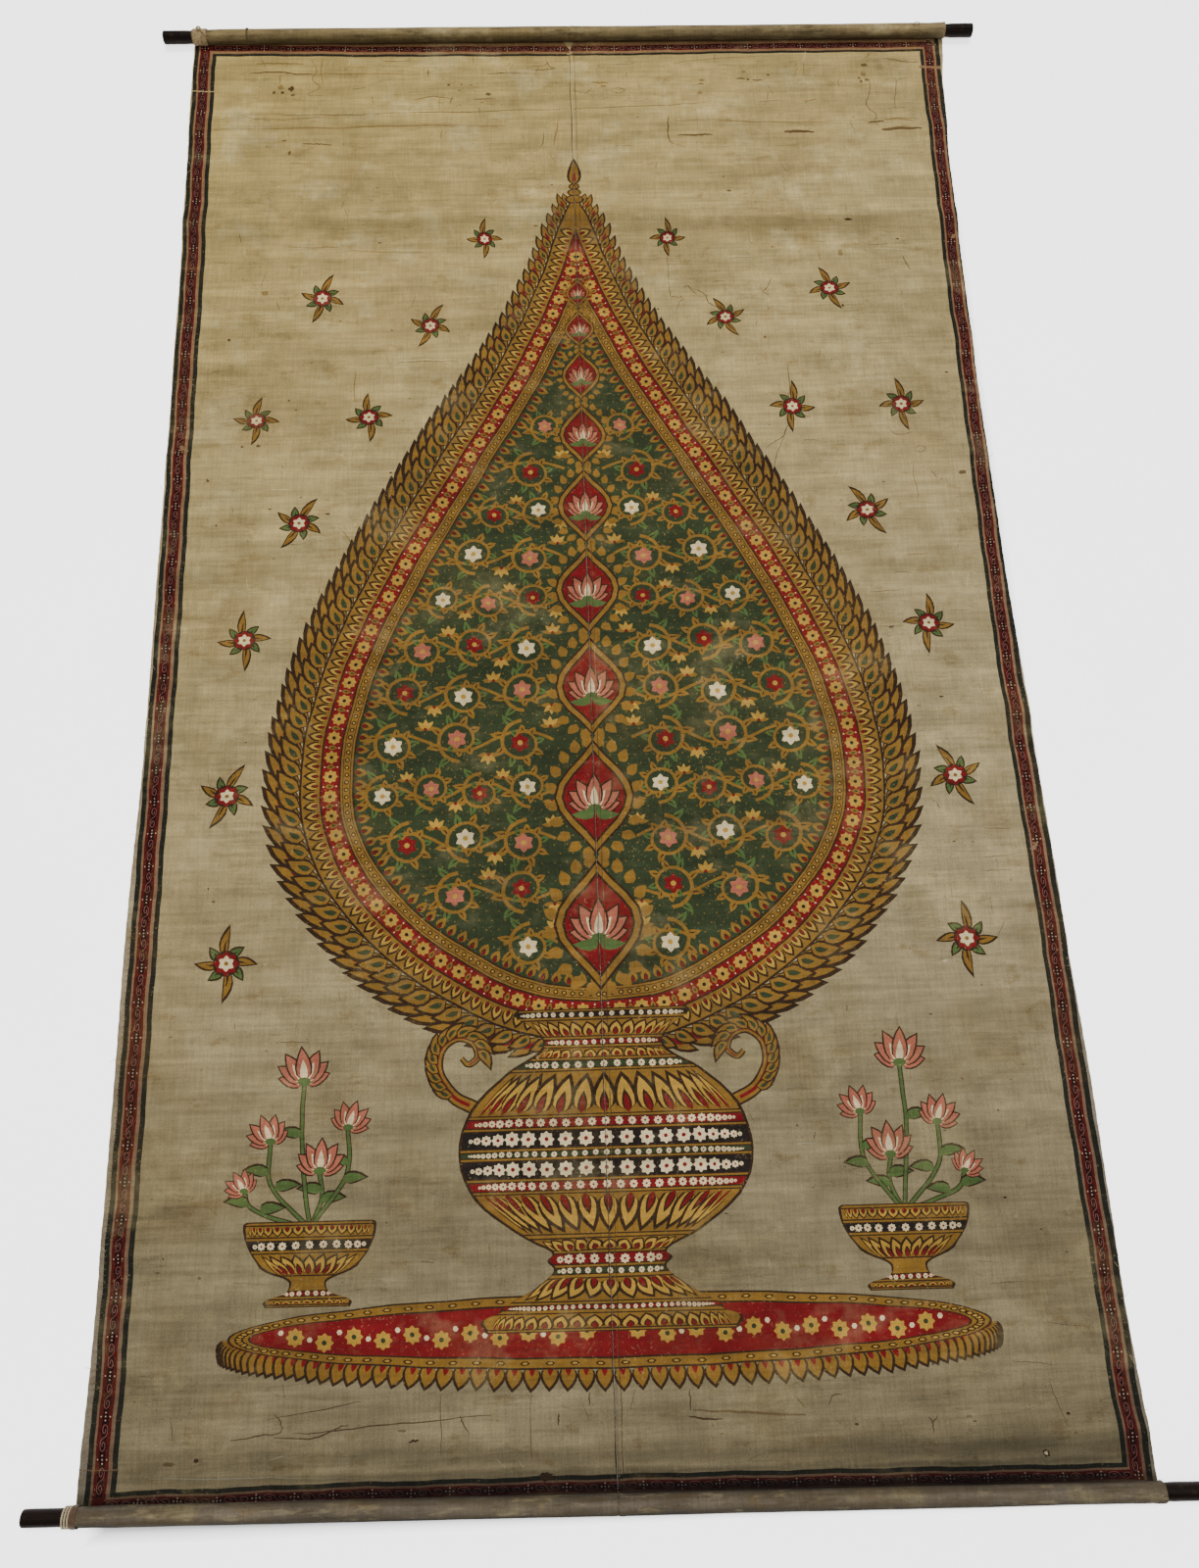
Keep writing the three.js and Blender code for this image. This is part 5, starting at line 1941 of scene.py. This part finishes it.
# Threads and tapes: dark and pale tones as sRGB, and how fine the fibres are.
FIBRES = {
    "ochre_tape": ((104, 84, 50), (160, 138, 94), 160),
    "cream_thread": ((140, 122, 90), (190, 172, 138), 200),
    "drab_thread": ((58, 44, 26), (112, 90, 58), 200),
    "brown_tape_fibre": ((44, 28, 12), (88, 60, 30), 160),
}


def knot_on(roll, knot, radius):
    """Where a knot sits on a roll, and its loops."""
    middle = on_roll(roll, knot["x"], radius + knot["lift"], KNOT_ANGLE)
    return middle, knot_loops(middle, knot["size"], knot["cord"])


def ochre_tie():
    middle, knot = knot_on(TOP_ROLL, OCHRE_KNOT, ON_HEM)
    wrap = OCHRE_WRAP
    tape = wound_tape(TOP_ROLL, wrap["x"], wrap["width"], ON_HEM, wrap["thick"], wrap["turns"])
    tail = tube(smooth_curve(OCHRE_TAIL + middle, 4), OCHRE_TAIL_RADIUS, 6)
    return [tape, *knot, tail]


def ring_threads():
    row = RING_THREADS
    angle = np.linspace(RING_START, SEWN_ARC[1], row["steps"])
    parts = []
    for x in row["x"]:
        ring = round_roll(TOP_ROLL, x + row["sway"] * np.sin(angle * 3), ROLL_RADIUS + row["lift"], angle)
        parts += twisted(ring, row["radius"], 2, row["pitch"])
    return parts + knot_on(TOP_ROLL, RING_KNOT, ROLL_RADIUS)[1]


def standing_loop():
    foot = AXIS_Z + ROLL_RADIUS + LOOP_THREAD["lift"]
    arch = [(row["x"], TOP_ROLL["y"] + row["lean"], foot + row["rise"]) for row in LOOP_ARCH]
    return twisted(smooth_curve(arch, 7), LOOP_THREAD["radius"], 2, LOOP_THREAD["pitch"])


def rod_cord():
    row = ROD_CORD
    angle = np.linspace(0, 2 * np.pi * row["turns"], row["steps"] * row["turns"])
    x = row["x"] + row["pitch"] * angle / (2 * np.pi)
    line = round_roll(BOTTOM_ROLL, x, ROD_RADIUS + row["lift"], angle)
    return twisted(line, row["radius"], 2, row["lay"])


def build_ties(fibres):
    declare(joined("ochre_wrap", ochre_tie(), fibres["ochre_tape"]), "gold_tape", "top_left_tie")
    declare(joined("thread_ring", ring_threads(), fibres["drab_thread"]), "cream_cord", "top_left_thread")
    declare(joined("thread_loop", standing_loop(), fibres["cream_thread"]), "cream_cord", "top_right_loop")
    wrap = BROWN_BAND
    band = wound_tape(BOTTOM_ROLL, wrap["x"], wrap["width"], ON_HEM, wrap["thick"], wrap["turns"])
    declare(joined("brown_band", [band], fibres["brown_tape_fibre"]), "brown_tape", "bottom_left_band")
    cord = joined("cream_cord_turns", rod_cord(), fibres["cream_thread"])
    declare(cord, "cream_cord", "bottom_left_cord")


# The sewing: where each row of stitches runs along the cloth, how far apart they are, and their size.
SEAM_ROW = {"run": (-1385, 1405), "pitch": 7.2, "length": 4.2, "radius": 0.32}
HEM_ROW = {"run": (-1375, -520), "pitch": 9.5, "slope": 0.5, "length": 7.5, "radius": 0.4}
LOOSE_THREADS = {"count": 54, "on_left": 0.45, "run": (-1380, 1390), "length": (5, 16), "radius": 0.28}
FLOOR_CLEAR = 0.4


def stitch(x, v, heading, length, radius):
    """A short stitch that dips into the cloth at both ends."""
    t = np.linspace(-0.5, 0.5, 5)
    points = place(x + length * t * math.cos(heading), v + length * t * math.sin(heading), True)
    points[:, 2] += radius * (1.2 - 10 * t ** 2)
    return tube(points, radius, 5)


def edge_at(side, v):
    return side_edge(side, np.array([v]))[0]


def loose_thread():
    """A thread that has worked loose from a side edge and lies across it or beside it."""
    side = -1 if RNG.random() < LOOSE_THREADS["on_left"] else 1
    v = RNG.uniform(*LOOSE_THREADS["run"])
    start = edge_at(side, v) - side * 2
    length = RNG.uniform(*LOOSE_THREADS["length"])
    drift = RNG.uniform(-0.9, 0.9)
    t = np.linspace(0, 1, 6)
    x = start - side * length * (0.25 - t) * RNG.choice([1.0, -0.6])
    y = v + drift * length * t ** 2 + between(SLANTS, "slant", np.array([v]))[0] * x
    edge_z = place(np.array([start]), np.array([v]), True)[0, 2]
    z = np.maximum(edge_z + 0.3 + 1.6 * np.sin(np.pi * t) - 0.4 * t, FLOOR_CLEAR)
    return tube(as_points(x, y, z), LOOSE_THREADS["radius"], 5)


def build_sewing(fibres):
    seam, hem = [], []
    for v in np.arange(*SEAM_ROW["run"], SEAM_ROW["pitch"]):
        x = SEAM_X + DOUBLED["width"] - 0.8 + RNG.uniform(-0.3, 0.3)
        heading = math.pi / 2 + RNG.uniform(-0.15, 0.15)
        seam.append(stitch(x, v, heading, SEAM_ROW["length"], SEAM_ROW["radius"]))
    for v in np.arange(*HEM_ROW["run"], HEM_ROW["pitch"]):
        x = edge_at(-1, v) + DOUBLED["width"] + 0.5 + RNG.uniform(-0.6, 0.6)
        heading = HEM_ROW["slope"] + RNG.uniform(-0.2, 0.2)
        hem.append(stitch(x, v, heading, HEM_ROW["length"], HEM_ROW["radius"]))
    loose = [loose_thread() for _ in range(LOOSE_THREADS["count"])]
    return [
        declare(joined("seam_stitches", seam, fibres["drab_thread"]), "cream_cord"),
        declare(joined("hem_stitches", hem, fibres["drab_thread"]), "cream_cord"),
        declare(joined("edge_threads", loose, fibres["cream_thread"]), "cream_cord"),
    ]


# Camera, light and floor.
CAMERA_PLACE = (-0.0558, -0.9009, 2.0703)
CAMERA_AXES = ((0.99926, -0.03333, 0.01911), (0.02642, 0.95726, 0.28803), (-0.02790, -0.28731, 0.95743))
CAMERA_LENS = 27.5625
CAMERA_SENSOR = 36
# The lights: where each is and what it is aimed at, in metres, its power and its other settings.
SUNLIGHT = {"angle": math.radians(24), "color": (1.0, 0.985, 0.96)}
SOFT_PANEL = {"shape": "RECTANGLE", "size": 3.2, "size_y": 3.2}
LIGHTS = table("name kind place aim power settings", [
    ("window", "SUN", (0.7, 3.0, 7.4), (0, 0, 0), 3.1, SUNLIGHT),
    ("ceiling", "AREA", (0.3, -1.2, 4.4), (0, 0.2, 0), 90, SOFT_PANEL),
])
SKY_COLOUR = (0.9, 0.95, 1.0, 1)
SKY_STRENGTH = 0.42
FLOOR_REACH = 9000


def add_camera():
    data = bpy.data.cameras.new("camera")
    data.lens = CAMERA_LENS
    data.sensor_width = CAMERA_SENSOR
    camera = bpy.data.objects.new("camera", data)
    turn = Matrix(CAMERA_AXES).transposed().to_4x4()
    camera.matrix_world = Matrix.Translation(CAMERA_PLACE) @ turn
    bpy.context.scene.collection.objects.link(camera)
    bpy.context.scene.camera = camera


def add_light(row):
    data = bpy.data.lights.new(row["name"], row["kind"])
    data.energy = row["power"]
    for key, value in row["settings"].items():
        setattr(data, key, value)
    light = bpy.data.objects.new(row["name"], data)
    light.location = row["place"]
    toward = Vector(row["aim"]) - Vector(row["place"])
    light.rotation_euler = toward.to_track_quat("-Z", "Y").to_euler()
    bpy.context.scene.collection.objects.link(light)


def add_light_and_floor():
    for row in LIGHTS:
        add_light(row)
    world = bpy.data.worlds.new("studio")
    world.use_nodes = True
    sky = world.node_tree.nodes["Background"].inputs
    sky["Color"].default_value = SKY_COLOUR
    sky["Strength"].default_value = SKY_STRENGTH
    bpy.context.scene.world = world
    corners = [(x * FLOOR_REACH, y * FLOOR_REACH, 0) for x, y in ((-1, -1), (1, -1), (1, 1), (-1, 1))]
    floor = new_object("floor", corners, [(0, 1, 2, 3)], floor_material())


def main():
    add_camera()
    add_light_and_floor()
    paint_everything()
    cotton = cloth_material()
    wood = wood_material()
    left = declare(cloth_panel("painted_left_panel", -1, cotton), "painted_cloth", "left_panel")
    right = declare(cloth_panel("painted_right_panel", 1, cotton), "painted_cloth", "right_panel")
    declare(turned_rod("dark_top_rod", TOP_ROD, wood), "dark_wood", "top_rod")
    declare(turned_rod("dark_bottom_rod", BOTTOM_ROD, wood), "dark_wood", "bottom_rod")
    fibres = {name: fibre_material(name, *tones) for name, tones in FIBRES.items()}
    build_ties(fibres)
    seam, hem, loose = build_sewing(fibres)


main()
